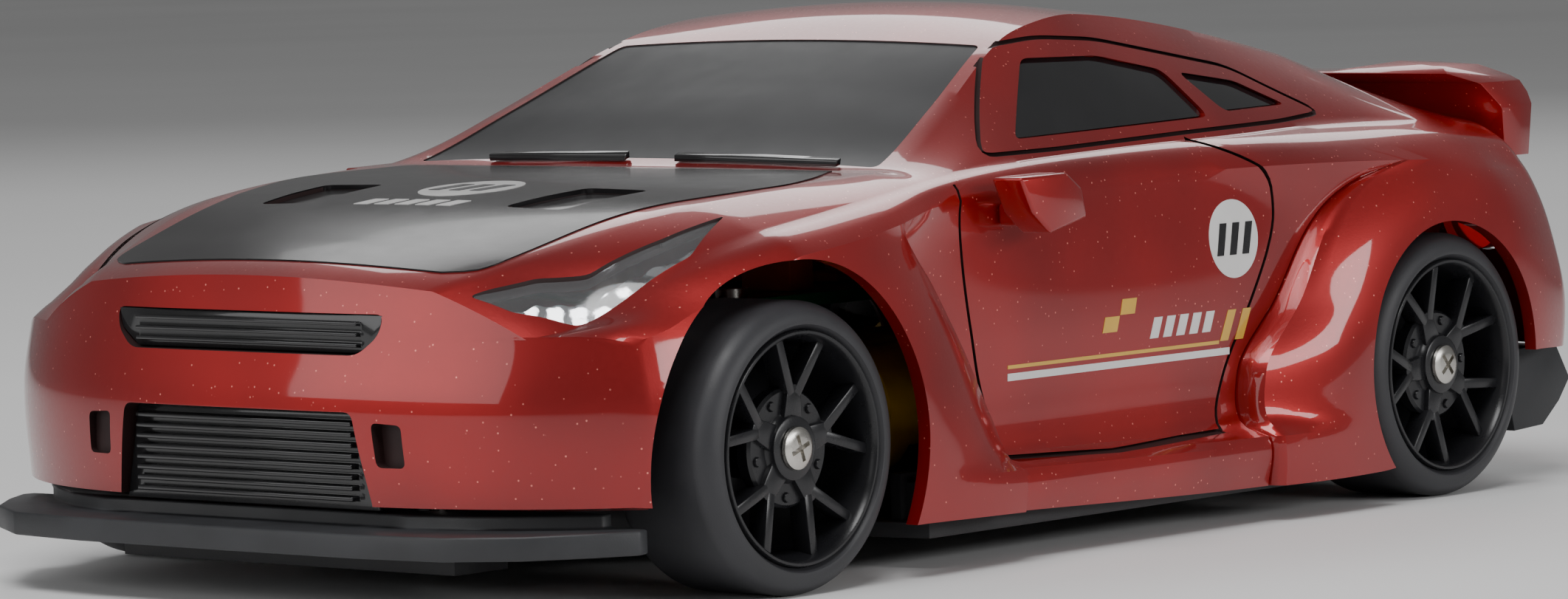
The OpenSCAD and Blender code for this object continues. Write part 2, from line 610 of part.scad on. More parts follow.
// Tyre section: rounded shoulders on a nearly flat tread
module tyre_solid() {
  in_x = face_x - tyre_w;
  shoulder = 2.2;
  rim_edge = 0.7;
  rotate_extrude() polygon(concat(
    [[bead_r + running, in_x + rim_edge], [bead_r + 0.7, in_x]],
    [for (a = [0:22.5:90]) [tyre_r - shoulder + shoulder * sin(a), in_x + shoulder * (1 - cos(a))]],
    [for (a = [90:-22.5:0]) [tyre_r - shoulder + shoulder * sin(a), face_x - shoulder * (1 - cos(a))]],
    [[bead_r + 0.7, face_x], [bead_r + running, face_x - rim_edge]]));
}
module rim_solid(bore_r) {
  difference() {
    union() {
      rotate_extrude() polygon([[bead_r - 0.9, 35.8], [bead_r, 35.8], [bead_r, 48.8], [bead_r - 0.9, 48.8],
        [bead_r - 1.5, 48], [bead_r - 0.9, 46.5]]);
      translate([0, 0, 38.6]) cylinder(r = 3.4, h = 9.3);
      for (i = [0:spokes - 1]) rotate(i * 360 / spokes + 18) {
        translate([0, 0, 45.6]) linear_extrude(2) {
          polygon([[2.5, -1.6], [5.4, -1], [6, 0], [5.4, 1], [2.5, 1.6]]);
          for (m = [0, 1]) mirror([0, m, 0])
            polygon([[4.6, -0.6], [5.2, 0.4], [bead_r - 1, 3.4], [bead_r - 0.7, 2.1], [6.4, -0.5]]);
        }
        rotate(36) translate([5.1, 0, 45.8]) cylinder(r = 0.7, h = 2);
      }
      translate([0, 0, 45.4]) cylinder(r = 6.2, h = 1.5);
    }
    translate([0, 0, 38]) cylinder(r = bore_r, h = 8);
    translate([0, 0, 38]) cylinder(r = 1.35, h = 11);
  }
}
bearing_r = 2.6;
module bearing_pair() {
  for (x = [38.7, 44.3]) translate([0, 0, x]) difference() {
    cylinder(r = bearing_r - 0.02, h = 1.6);
    translate([0, 0, -1]) cylinder(r = stub_r + running, h = 4);
  }
}
module wheel_screw() {
  difference() {
    union() {
      translate([0, 0, 48]) cylinder(r = 2.3, h = 0.7);
      translate([0, 0, 42]) cylinder(r = 0.65, h = 6.1);
    }
    for (a = [0, 90]) rotate(a) translate([-1.5, -0.3, 48.25]) cube([3, 0.6, 1]);
  }
}
module front_left_tyre() { color("dimgray") wheel_place(front_y) tyre_solid(); }
module front_right_tyre() { mirror([1, 0, 0]) front_left_tyre(); }
module front_left_rim() { color("black") wheel_place(front_y) rim_solid(bearing_r); }
module front_right_rim() { mirror([1, 0, 0]) front_left_rim(); }
module front_left_bearings() { color("silver") wheel_place(front_y) bearing_pair(); }
module front_right_bearings() { mirror([1, 0, 0]) front_left_bearings(); }
module front_left_wheel_screw() { color("silver") wheel_place(front_y) wheel_screw(); }
module front_right_wheel_screw() { mirror([1, 0, 0]) front_left_wheel_screw(); }
module rear_tyres() { color("dimgray") both_sides() wheel_place(rear_y) tyre_solid(); }
module rear_rims() { color("black") both_sides() wheel_place(rear_y) rim_solid(axle_r); }
module rear_wheel_screws() { color("silver") both_sides() wheel_place(rear_y) wheel_screw(); }

// ---------- rear drive ----------
axle_r = 1.5;
pinion_r = gear_module * pinion_teeth / 2;
spur_r = gear_module * spur_teeth / 2;
motor_y = rear_y - pinion_r - spur_r;
gear_x = 14.6;
gear_w = 4;
// Outline of a spur gear with slightly thinned teeth, one tooth centred on angle 0
module gear_outline(teeth) {
  r = gear_module * teeth / 2;
  tip = r + 0.8 * gear_module;
  root = r - 1.1 * gear_module;
  pitch = 360 / teeth;
  polygon([for (i = [0:teeth - 1]) each [
    for (q = [[-0.3, root], [-0.2, r], [-0.09, tip], [0.09, tip], [0.2, r], [0.3, root]])
      q[1] * [cos((i + q[0]) * pitch), sin((i + q[0]) * pitch)]]]);
}
module spur_gear() {
  color("white") wheel_place(rear_y) translate([0, 0, gear_x]) difference() {
    union() {
      linear_extrude(gear_w) rotate(-90) gear_outline(spur_teeth);
      translate([0, 0, -0.8]) cylinder(r = 3.4, h = gear_w + 1.6);
    }
    translate([0, 0, -2]) cylinder(r = axle_r, h = 10);
    for (a = [0:60:300]) rotate(a + 15) translate([4.9, 0, -2]) cylinder(r = 1.1, h = 10, $fn = 24);
  }
}
module pinion_gear() {
  color("goldenrod") wheel_place(motor_y) translate([0, 0, gear_x]) difference() {
    linear_extrude(gear_w) rotate(90 + 180 / pinion_teeth) gear_outline(pinion_teeth);
    translate([0, 0, -2]) cylinder(r = 1, h = 10);
  }
}
motor_r = 10;
motor_half = 7.5;
module motor_section(x0, x1, shrink) {
  intersection() {
    bar_x(motor_r - shrink, x0, x1, motor_y, tyre_r);
    box([x0, motor_y - motor_half + shrink, 0], [x1, motor_y + motor_half - shrink, 40]);
  }
}
module motor_can() {
  color("silver") difference() {
    union() {
      motor_section(-14, 11, 0);
      bar_x(3, 11 - eps, 12.4, motor_y, tyre_r);
    }
    motor_section(-15, 10, 0.9);
    bar_x(1 + running, 0, 20, motor_y, tyre_r);
  }
}
module motor_endbell() {
  color("black") difference() {
    union() {
      motor_section(-16.5, -14.02, 0.4);
      bar_x(2.6, -17.6, -16.4, motor_y, tyre_r);
      for (z = [9.4, 21]) box([-18.4, motor_y - 1, z - 0.2], [-16.4, motor_y + 1, z + 0.2]);
    }
    bar_x(1 + running, -20, 0, motor_y, tyre_r);
  }
}
module motor_shaft() {
  color("silver") {
    bar_x(1, -17.8, gear_x + gear_w + 0.4, motor_y, tyre_r);
    bar_x(6, -11, 7.5, motor_y, tyre_r);
  }
}
module bearing_plate(x0, x1) {
  difference() {
    from_side(x0, x1) polygon([[rear_y - 7, floor_top + 0.02], [rear_y + 8, floor_top + 0.02],
      [rear_y + 8, 12], [rear_y + 5, 21.5], [rear_y - 5, 21.5], [rear_y - 7, 16]]);
    bar_x(3.5, x0 - 1, x1 + 1, rear_y, tyre_r);
  }
}
module gearbox_housing() {
  color("dimgray") difference() {
    union() {
      both_sides() bearing_plate(21.6, 24.6);
      from_side(12.05, 13.2) polygon([[motor_y - 9, floor_top + 0.02], [rear_y + 4, floor_top + 0.02],
        [rear_y + 4, 16], [motor_y + 6, 26], [motor_y - 6, 26], [motor_y - 9, 20]]);
      box([12.05, rear_y - 7, floor_top + 0.02], [24.6, rear_y + 4, 6.4]);
    }
    bar_x(2, 5, 14, rear_y, tyre_r);
    bar_x(3.05, 5, 14, motor_y, tyre_r);
  }
}
module gearbox_cover() {
  color("black") difference() {
    union() {
      bar_x(10, 13.4, 21.2, rear_y, tyre_r);
      box([13.4, rear_y - 10, 15.2], [21.2, rear_y - 2, 22]);
    }
    bar_x(9, 13, 20.2, rear_y, tyre_r);
    box([13, rear_y - 9, 10], [20.2, rear_y - 2, 21]);
    box([0, rear_y - 20, 0], [30, rear_y + 20, tyre_r + 1]);
    bar_x(2.2, 0, 30, rear_y, tyre_r);
    bar_x(3.6, 0, 30, motor_y, tyre_r);
  }
}
module rear_axle() {
  color("silver") difference() {
    bar_x(axle_r, -45.9, 45.9, rear_y, tyre_r);
    both_sides() bar_x(0.7, 40, 50, rear_y, tyre_r);
  }
}
module rear_bearings() {
  color("silver") both_sides() difference() {
    bar_x(3.48, 21.8, 24.4, rear_y, tyre_r);
    bar_x(axle_r + running, 20, 30, rear_y, tyre_r);
  }
}
module rear_hexes() {
  color("goldenrod") both_sides() wheel_place(rear_y) translate([0, 0, 35.4]) difference() {
    cylinder(r = 3.4, h = 3.1, $fn = 6);
    translate([0, 0, -1]) cylinder(r = axle_r, h = 6);
  }
}

// ---------- battery and electronics ----------
cell_r = 7.2;
cell_places = [12.6, 27.2];
cell_z = 15.6;
module battery() {
  color("gold") {
    for (x = cell_places) bar_y(cell_r, -24, 20, x, cell_z);
    box([cell_places[0], -24, cell_z + 3], [cell_places[1], 20, cell_z + cell_r]);
    box([cell_places[0], -24, cell_z - cell_r], [cell_places[1], 20, cell_z - 3]);
  }
}
module battery_door() {
  color("black") difference() {
    union() {
      box([door_low[0], door_low[1], floor_z], [door_high[0], door_high[1], floor_z + 1.4]);
      for (y = [-20, 12]) box([6, y, floor_z + 1.3], [34, y + 2, cell_z - 3.6]);
      box([17, door_high[1] - 0.2, floor_z], [23, door_high[1] + 0.1, floor_z + 1.4]);
    }
    for (x = cell_places) bar_y(cell_r + 0.03, -40, 40, x, cell_z);
    box([cell_places[0], -40, cell_z - cell_r - 0.03], [cell_places[1], 40, cell_z]);
  }
}
module circuit_board() {
  color("darkgreen") difference() {
    box([-23, -36, board_z], [23, 28, board_z + 1.4]);
    for (p = board_posts) bar_z(1, board_z - 1, board_z + 3, p[0], p[1]);
    box([9, 12, board_z - 1], [30, 30, board_z + 3]);
  }
}
module board_parts() {
  color("orangered") {
    box([12, -30, board_z - 2.4], [21, -24, board_z]);
    top = board_z + 1.4;
    box([-6, -12, top], [4, -2, top + 1.2]);
    box([8, -8, top], [14, -3, top + 1]);
    box([-20, -26, top], [-12, -22, top + 5]);
    box([-20, -16, top], [-12, -12, top + 5]);
    bar_z(2.5, top, top + 6, -14, 6);
    bar_z(2.5, top, top + 6, -6, 10);
    box([12, -22, top], [19, -18, top + 5]);
    box([-3, 16, top], [3, 20, top + 3.6]);
  }
}
module board_screws() {
  color("silver") for (p = board_posts) {
    bar_z(1.9, board_z + 1.4, board_z + 2.5, p[0], p[1]);
    bar_z(0.9, board_z + 0.05, board_z + 1.45, p[0], p[1]);
  }
}
module power_switch() {
  color("dimgray") difference() {
    box([knob_x - 3, knob_y - 5, floor_top + 0.02], [knob_x + 3, knob_y + 8, floor_top + 5]);
    box([knob_x - 1.6, knob_y - 2, 0], [knob_x + 1.6, knob_y + 5, floor_top + 2.6]);
  }
}
module switch_knob() {
  color("black") {
    box([knob_x - 1, knob_y - 1.2, floor_z - 0.5], [knob_x + 1, knob_y + 1.2, floor_top + 0.6]);
    box([knob_x - 1.4, knob_y - 1.7, floor_top + 0.3], [knob_x + 1.4, knob_y + 1.7, floor_top + 2.2]);
  }
}
// Round wire swept along points, with flat ends
module wire(pts, r) {
  n = len(pts);
  sides = 8;
  function way(i) = unit(pts[min(i + 1, n - 1)] - pts[max(i - 1, 0)]);
  rings = [for (i = [0:n - 1])
    let (t = way(i), side = unit(cross(t, abs(t[2]) > 0.9 ? [1, 0, 0] : [0, 0, 1])), up = cross(side, t))
    for (k = [0:sides - 1]) pts[i] + r * (cos(360 * k / sides) * side + sin(360 * k / sides) * up)];
  faces = concat(
    [for (i = [0:n - 2]) for (k = [0:sides - 1])
      let (a = i * sides + k, b = i * sides + (k + 1) % sides) each [[a, b, b + sides], [a, b + sides, a + sides]]],
    [[for (k = [sides - 1:-1:0]) k], [for (k = [0:sides - 1]) (n - 1) * sides + k]]);
  polyhedron(rings, faces);
}
function smooth_route(knots, steps) =
  let (keys = [for (i = [0:len(knots) - 1]) [i, knots[i]]])
  [for (i = [0:(len(knots) - 1) * steps]) along(keys, min(i / steps, len(knots) - 1.0001))];
motor_wire_knots = [[-10, 26.9, 26.3], [-10.5, 31, 25.2], [-15, 38, 23.4], [-21, 44, 22.4], [-22.6, 48, 21.4],
  [-19, 50, 21]];
battery_wire_knots = [[26, -24.6, 18], [26, -28, 18.6], [25.6, -30, 21.6], [25.2, -30.6, 24.8]];
module motor_wires() {
  color("red") {
    wire(smooth_route(motor_wire_knots, 4), 0.7);
    wire(smooth_route([for (p = motor_wire_knots) let (t = clip((26.3 - p[2]) / 5.3))
      p + [-2.4 * (1 - t), 0, -11.6 * t]], 4), 0.7);
  }
}
module battery_wires() {
  color("red") for (dx = [0, -2.6])
    wire(smooth_route([for (p = battery_wire_knots) p + [dx, 0, 0]], 4), 0.7);
}

body_shell();
windscreen();
left_windows();
right_windows();
rear_window();
left_headlight_lens();
right_headlight_lens();
left_headlight_bowl();
right_headlight_bowl();
headlight_leds();
tail_lamps();
upper_grille();
lower_grille();
bonnet_vents();
front_splitter();
rear_diffuser();
rear_wing();
left_mirror();
right_mirror();
wipers();
body_screws();
chassis_tub();
lower_arms();
upper_arms();
kingpins();
left_knuckle();
right_knuckle();
steering_link();
servo_case();
servo_horn();
front_left_bearings();
front_right_bearings();
motor_can();
motor_endbell();
motor_shaft();
pinion_gear();
gearbox_housing();
gearbox_cover();
spur_gear();
rear_axle();
rear_bearings();
rear_hexes();
battery();
battery_door();
circuit_board();
board_parts();
board_screws();
power_switch();
switch_knob();
motor_wires();
battery_wires();
front_left_rim();
front_left_tyre();
front_right_rim();
front_right_tyre();
rear_rims();
rear_tyres();
front_left_wheel_screw();
front_right_wheel_screw();
rear_wheel_screws();
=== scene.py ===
# Radio controlled drift car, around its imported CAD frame. Lengths are in millimetres until mesh_object().
import bmesh
import bpy
from math import cos, hypot, pi, radians, sin, sqrt
from mathutils import Matrix, Vector
from mathutils.geometry import tessellate_polygon


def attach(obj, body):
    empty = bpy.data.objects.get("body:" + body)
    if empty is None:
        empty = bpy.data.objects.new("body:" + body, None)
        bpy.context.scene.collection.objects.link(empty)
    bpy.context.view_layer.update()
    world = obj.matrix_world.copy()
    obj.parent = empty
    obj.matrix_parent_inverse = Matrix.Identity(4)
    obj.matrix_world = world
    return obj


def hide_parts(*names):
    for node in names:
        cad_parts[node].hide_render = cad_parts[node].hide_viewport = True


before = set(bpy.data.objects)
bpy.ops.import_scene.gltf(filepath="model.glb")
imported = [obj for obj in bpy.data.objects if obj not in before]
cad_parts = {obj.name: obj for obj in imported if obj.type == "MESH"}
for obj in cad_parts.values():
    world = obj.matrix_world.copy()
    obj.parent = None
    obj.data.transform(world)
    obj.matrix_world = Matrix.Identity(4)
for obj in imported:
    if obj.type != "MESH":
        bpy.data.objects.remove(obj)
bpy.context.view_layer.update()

MM = 0.001

# The axles
FRONT_Y = -56
REAR_Y = 60
AXLE_Z = 15.2

# A station, s, is a place along the body before its nose and tail are bowed and leaned. These are the
# ends, where the tail's bow begins, and the place where the finished tail ends.
NOSE_S = -89.3
TAIL_S = 94.3
REAR_BLEND_S = 60
TAIL_Y = 94.4

# The shell's wall and the gap round its panes and lamps
WALL = 1.6
FIT = 0.12

# How far the nose and the tail bow back at BOW_X from the middle, and the swell of the side glass
BOW_X = 45
NOSE_BOW = 13
TAIL_BOW = 5
GLASS_BOW = 1.6

# The ends of the shell's inner skin, and how much thicker the wall is in the middle of the nose
INNER_NOSE_S = -87.4
INNER_TAIL_S = 92.4
NOSE_THICKER = 2.6

# Where the sides begin to draw in at each end, over what length, and how far
NOSE_TURN_S = -58
NOSE_TURN = 31
NOSE_DRAWN_IN = 3.4
TAIL_TURN_S = 76
TAIL_TURN = 18
TAIL_DRAWN_IN = 3.2

# Where the cutters for openings end, well outside the body
BEYOND_SIDE = 60
BEYOND_NOSE = -95
BEYOND_TAIL = 100
OVER_ROOF = 62

# A wheel's tyre: outer face, radius, bore, width and the round of its shoulders
FACE_X = 49.3
TYRE_R = 15.2
TYRE_BORE = 12.25
TYRE_W = 14
TYRE_ROUND = 2.3

# ---------- materials ----------


class Nodes:
    """A shorthand for building one procedural material."""

    def __init__(self, name):
        self.material = bpy.data.materials.new(name)
        self.material.use_nodes = True
        self.tree = self.material.node_tree
        self.shader = self.tree.nodes["Principled BSDF"]
        self.place = self.tree.nodes.new("ShaderNodeTexCoord").outputs["Object"]

    def link(self, source, target):
        self.tree.links.new(source, target)

    def noise(self, size_mm, detail=3.0):
        node = self.tree.nodes.new("ShaderNodeTexNoise")
        node.inputs["Scale"].default_value = 1 / (size_mm * MM)
        node.inputs["Detail"].default_value = detail
        self.link(self.place, node.inputs["Vector"])
        return node.outputs["Fac"]

    def cells(self, size_mm, output="Color"):
        node = self.tree.nodes.new("ShaderNodeTexVoronoi")
        node.inputs["Scale"].default_value = 1 / (size_mm * MM)
        self.link(self.place, node.inputs["Vector"])
        return node.outputs[output]

    def ramp(self, source, low, high, start=0.3, end=0.7):
        node = self.tree.nodes.new("ShaderNodeValToRGB")
        node.color_ramp.elements[0].position = start
        node.color_ramp.elements[1].position = end
        node.color_ramp.elements[0].color = (*low, 1)
        node.color_ramp.elements[1].color = (*high, 1)
        self.link(source, node.inputs["Fac"])
        return node.outputs["Color"]

    def spread(self, source, low, high):
        node = self.tree.nodes.new("ShaderNodeMapRange")
        node.inputs["To Min"].default_value = low
        node.inputs["To Max"].default_value = high
        self.link(source, node.inputs["Value"])
        return node.outputs["Result"]

    def bump(self, source, depth_mm, strength=1.0):
        node = self.tree.nodes.new("ShaderNodeBump")
        node.inputs["Distance"].default_value = depth_mm * MM
        node.inputs["Strength"].default_value = strength
        self.link(source, node.inputs["Height"])
        self.link(node.outputs["Normal"], self.shader.inputs["Normal"])

    def blend(self, kind, a, b, factor=1.0):
        node = self.tree.nodes.new("ShaderNodeMix")
        node.data_type = "RGBA"
        node.blend_type = kind
        node.inputs["Factor"].default_value = factor
        self.link(a, node.inputs["A"])
        self.link(b, node.inputs["B"])
        return node.outputs["Result"]

    def set(self, **values):
        for name, value in values.items():
            self.shader.inputs[name.replace("_", " ")].default_value = value
        return self


def shade(color, factor):
    return tuple(min(c * factor, 1) for c in color)


def plastic(name, color, rough=(0.3, 0.4), grain_mm=0.35, depth_mm=0.01, vary=0.18, **values):
    """Moulded plastic or metal: cloudy colour, uneven gloss and a fine moulded grain."""
    n = Nodes(name)
    tone = n.ramp(n.noise(6), shade(color, 1 - vary), shade(color, 1 + vary))
    n.link(tone, n.shader.inputs["Base Color"])
    n.link(n.spread(n.noise(3, 4), *rough), n.shader.inputs["Roughness"])
    n.bump(n.noise(grain_mm, 2), depth_mm)
    return n.set(**values).material


def candy_paint(name, deep, bright):
    """Metallic lacquer: fine bright flakes under a clear coat, a little deeper in places."""
    n = Nodes(name)
    base = n.ramp(n.noise(25, 2), deep, bright)
    flake = n.ramp(n.cells(0.6, "Distance"), (1.0, 0.42, 0.34), (0, 0, 0), 0.12, 0.2)
    pick = n.ramp(n.cells(0.6), (0, 0, 0), (1, 1, 1), 0.72, 0.8)
    chosen = n.blend("MULTIPLY", flake, pick)
    n.link(n.blend("ADD", base, chosen, 0.6), n.shader.inputs["Base Color"])
    n.link(n.spread(n.noise(0.5, 2), 0.3, 0.42), n.shader.inputs["Roughness"])
    n.bump(n.cells(0.22, "Distance"), 0.006, 0.5)
    n.set(Metallic=0.55, Coat_Weight=1.0, Coat_Roughness=0.04, Coat_IOR=1.5)
    return n.material


def clear_plastic(name, color, rough=0.05):
    n = Nodes(name)
    n.link(n.ramp(n.noise(4), shade(color, 0.92), color), n.shader.inputs["Base Color"])
    n.link(n.spread(n.noise(2), rough, rough * 1.8), n.shader.inputs["Roughness"])
    n.set(IOR=1.49, Transmission_Weight=0.95)
    return n.material


RED = candy_paint("body_red", (0.25, 0.002, 0.003), (0.4, 0.005, 0.005))
WING_RED = candy_paint("wing_red", (0.21, 0.002, 0.003), (0.34, 0.005, 0.005))
PANEL_BLACK = plastic("bonnet_black", (0.014, 0.013, 0.014), (0.16, 0.24), 0.6, 0.002,
                      Specular_IOR_Level=0.16, Coat_Weight=0.12, Coat_Roughness=0.06)
SCREEN = plastic("screen_smoke", (0.02, 0.02, 0.022), (0.3, 0.4), 0.12, 0.003, Specular_IOR_Level=0.12)
GLASS_BLACK = plastic("window_black", (0.008, 0.008, 0.009), (0.08, 0.14), 2.0, 0.002, Coat_Weight=0.6)
GLOSS_BLACK = plastic("trim_gloss_black", (0.012, 0.012, 0.013), (0.14, 0.24), 0.6, 0.003, Coat_Weight=0.5)
MATTE_BLACK = plastic("trim_matte_black", (0.028, 0.029, 0.032), (0.42, 0.56), 0.22, 0.012)
CHASSIS = plastic("chassis_black", (0.02, 0.02, 0.022), (0.45, 0.6), 0.3, 0.02)
NYLON = plastic("nylon_grey", (0.06, 0.06, 0.064), (0.4, 0.55), 0.4, 0.015)
ACETAL = plastic("acetal_white", (0.62, 0.61, 0.56), (0.3, 0.4), 0.5, 0.006, Subsurface_Weight=0.1)
SERVO_BLUE = plastic("servo_blue", (0.012, 0.035, 0.14), (0.25, 0.35), 0.5, 0.005)
RIM = plastic("rim_black", (0.013, 0.013, 0.015), (0.22, 0.34), 0.3, 0.006)
TYRE = plastic("tyre_hard", (0.030, 0.030, 0.034), (0.42, 0.56), 0.14, 0.014, 0.12)
STEEL = plastic("steel_bright", (0.60, 0.58, 0.54), (0.2, 0.34), 0.25, 0.004, 0.08, Metallic=1.0)
CAN_STEEL = plastic("motor_can_steel", (0.45, 0.45, 0.46), (0.25, 0.4), 0.25, 0.004, 0.1, Metallic=1.0)
BRASS = plastic("brass_turned", (0.62, 0.42, 0.14), (0.2, 0.32), 0.3, 0.004, 0.1, Metallic=1.0)
WRAP = plastic("battery_wrap", (0.72, 0.40, 0.02), (0.16, 0.28), 2.5, 0.05, 0.15)
BOARD = plastic("board_green", (0.012, 0.12, 0.045), (0.3, 0.4), 0.5, 0.006)
PART_ORANGE = plastic("connector_orange", (0.62, 0.10, 0.03), (0.3, 0.42), 0.5, 0.008)
INSULATION = plastic("wire_red", (0.45, 0.015, 0.015), (0.4, 0.5), 0.4, 0.006)
WHITE_INK = plastic("ink_white", (0.78, 0.77, 0.76), (0.2, 0.3), 0.5, 0.002, 0.04, Coat_Weight=0.6)
YELLOW_INK = plastic("ink_yellow", (0.72, 0.42, 0.05), (0.2, 0.3), 0.5, 0.002, 0.06, Coat_Weight=0.6)
BLACK_INK = plastic("ink_black", (0.012, 0.012, 0.014), (0.2, 0.3), 0.5, 0.002, Coat_Weight=0.6)
SEAM = plastic("seam_black", (0.02, 0.004, 0.004), (0.5, 0.7), 0.5, 0.004)
CHROME = plastic("reflector_chrome", (0.80, 0.80, 0.80), (0.08, 0.2), 1.2, 0.05, 0.05, Metallic=1.0)
LENS = clear_plastic("lens_clear", (0.97, 0.98, 1.0))
RED_LENS = clear_plastic("lens_red", (0.55, 0.01, 0.01), 0.1)
LED = clear_plastic("led_clear", (0.95, 0.95, 0.9), 0.1)

# ---------- body lines, as the CAD has them: each row is a place, then its value or values ----------
CENTRE = [[-89.3, 34.3], [-78, 36.9], [-63, 39.8], [-47, 41.3], [-30, 42], [-26, 42.3], [-10, 49.4],
          [4, 55.4], [11, 57.7], [19, 58.6], [28, 58.2], [40, 56.4], [60, 52.2], [76, 47.2],
          [86, 44.2], [94.3, 43]]
RIDGE = [[-89.3, 25.5, 33], [-78, 29.5, 35.8], [-63, 33, 39], [-47, 36, 40.8], [-30, 36.6, 41.8],
         [-24, 35.8, 42.2], [-12, 32.6, 47.3], [4, 28, 54.6], [12, 26.8, 56.5], [20, 26.2, 57.1],
         [38, 25.4, 55.2], [60, 25.4, 51], [76, 29, 46.4], [86, 34, 43.4], [94.3, 36, 42.3]]
BELT = [[-89.3, 36, 28], [-82.5, 37.5, 29.3], [-75, 40, 33.2], [-67.5, 42, 35.4], [-56, 43.5, 37.2],
        [-40, 43.4, 39.2], [-26, 41.6, 40.8], [-12, 40, 41.9], [10, 39, 42.6], [35, 38.3, 43], [50, 38, 43.3],
        [66, 39.6, 42.9], [82, 41.5, 41.8], [94.3, 41, 41]]
SHOULDER = [[-89.3, 45, 27.5], [-78, 46.5, 31], [-68, 48, 33], [-56, 49.2, 34.9], [-47, 49, 35.9],
            [-38, 47.6, 37], [-28, 44.6, 38.3], [-16, 43.2, 38.9], [0, 42.4, 39.3], [22, 42.7, 39.5],
            [36, 44.4, 39.5], [48, 46.2, 39.3], [62, 47, 38.8], [76, 46.6, 38.3], [86, 45.4, 37.6],
            [94.3, 44.5, 37]]
SILL = [[-89.3, 10.4], [-72, 10.4], [-58, 5.8], [-37, 5.8], [45, 4.2], [60, 8], [74, 15], [94.3, 15.5]]
DOOR = [[4, 47.6], [9.6, 48], [10.8, 44.4], [16, 43.3], [25, 43.6], [33, 43.4], [39.5, 42.5]]
FRONT_CREASE = [[4, -18.8], [11, -18.8], [18, -22.2], [26, -27.4], [33, -32.2], [37.6, -37.8], [40, -46]]
REAR_CREASE = [[4, 26.3], [17, 26.8], [24.4, 33.6], [33, 40.7], [37.2, 47.6], [39.6, 57.6]]
CORNER = [[10, 1.6], [14, 0.4], [20, 0], [28, 0.8], [34, 1]]
NOSE_LEAN = [[9.5, 1], [20.7, 0.2], [29, 2], [34.6, 3], [60, 3]]
TAIL_LEAN = [[10, 1], [18, 0], [23, 0], [29.5, 1.9], [36, 5], [41, 8], [60, 8]]
FLARE_X = 50
FLARE_STEP = 2.6
FLARE_SPAN = 16
GROOVE_DEPTH = 0.55
GROOVE_HALF = 0.28
FRONT_CREASE_S = -27.4
REAR_CREASE_S = 34


def clip(t):
    return min(max(t, 0.0), 1.0)


def mix(a, b, t):
    return a + (b - a) * t


def along(keys, s):
    """Value or values at s on the smooth curve through keys, each [place, value, ...]."""
    last = len(keys) - 1
    i = 0
    while i < last - 1 and s >= keys[i + 1][0]:
        i += 1
    h = keys[i + 1][0] - keys[i][0]
    t = clip((s - keys[i][0]) / h)

    def slope(j, c):
        a, b = keys[max(j - 1, 0)], keys[min(j + 1, last)]
        return (b[c] - a[c]) / (b[0] - a[0])

    out = [(2 * t**3 - 3 * t**2 + 1) * keys[i][c] + (t**3 - 2 * t**2 + t) * h * slope(i, c)
           + (3 * t**2 - 2 * t**3) * keys[i + 1][c] + (t**3 - t**2) * h * slope(i + 1, c)
           for c in range(1, len(keys[0]))]
    return out[0] if len(out) == 1 else out


def flare_share(d, gap):
    """Share of the flare's height, gap, that is reached at distance d inside its crease."""
    if d <= 0:
        return 0
    step = min(FLARE_STEP, 0.6 * gap)
    return (step * clip(d / 0.9) + (gap - step) * (1 - (1 - clip(d / FLARE_SPAN))**2)) / gap


def groove(d):
    """Depth of the thin groove at the foot of a flare, at distance d from it."""
    return GROOVE_DEPTH * max(0.0, 1 - (d / GROOVE_HALF)**2)


def side_x(s, z):
    """Half width of the body's side at station s and height z."""
    door = along(DOOR, z)
    gap = FLARE_X - door
    front_d = along(FRONT_CREASE, z) - s
    rear_d = s - along(REAR_CREASE, z)
    front = flare_share(front_d, gap)
    rear = flare_share(rear_d, gap)
    door -= groove(front_d) + groove(rear_d)
    nose = clip((NOSE_TURN_S - s) / NOSE_TURN)
    tail = clip((s - TAIL_TURN_S) / TAIL_TURN)
    corner = along(CORNER, z)
    return (door + gap * max(front, rear) - nose**2 * (NOSE_DRAWN_IN + corner)
            - tail**2 * (TAIL_DRAWN_IN + corner))


def real_y(s, x, z):
    """Where station s really lies, with the bow and lean of the nose and the tail."""
    nose = NOSE_BOW * (abs(x) / BOW_X)**3.5 + along(NOSE_LEAN, z)
    tail = TAIL_BOW * (abs(x) / BOW_X)**3.5 + along(TAIL_LEAN, z)
    return (s + nose * clip((FRONT_Y - s) / (FRONT_Y - NOSE_S))
            - tail * clip((s - REAR_BLEND_S) / (TAIL_S - REAR_BLEND_S)))


def placed(s, x, z):
    return (x, real_y(s, x, z), z)


def roof_point(s, f):
    """A point [x, z] across the roof or bonnet: f is 0 at the centre and 1 at the ridge."""
    rx, rz = along(RIDGE, s)
    c = along(CENTRE, s)
    return [rx * f, c + (rz - c) * f * f]


def glass_point(s, g):
    """A point [x, z] of the side glass: g is 0 at the belt and 1 at the ridge."""
    (bx, bz), (rx, rz) = along(BELT, s), along(RIDGE, s)
    bow = GLASS_BOW * g * (1 - g)
    return [mix(bx, rx, g) + bow, mix(bz, rz, g) + 0.4 * bow]


SIDE_STEPS = 44
GLASS_STEPS = 12
ROOF_STEPS = 20


def warp(s, z):
    """Shifts stations so that two lie on the creases at height z, and the ends and the middle stay put."""
    line = [(-76, -76), (FRONT_CREASE_S, along(FRONT_CREASE, z)), (2, 2),
            (REAR_CREASE_S, along(REAR_CREASE, z)), (80, 80)]
    for (a, c), (b, d) in zip(line, line[1:]):
        if a <= s <= b:
            return mix(c, d, (s - a) / (b - a))
    return s


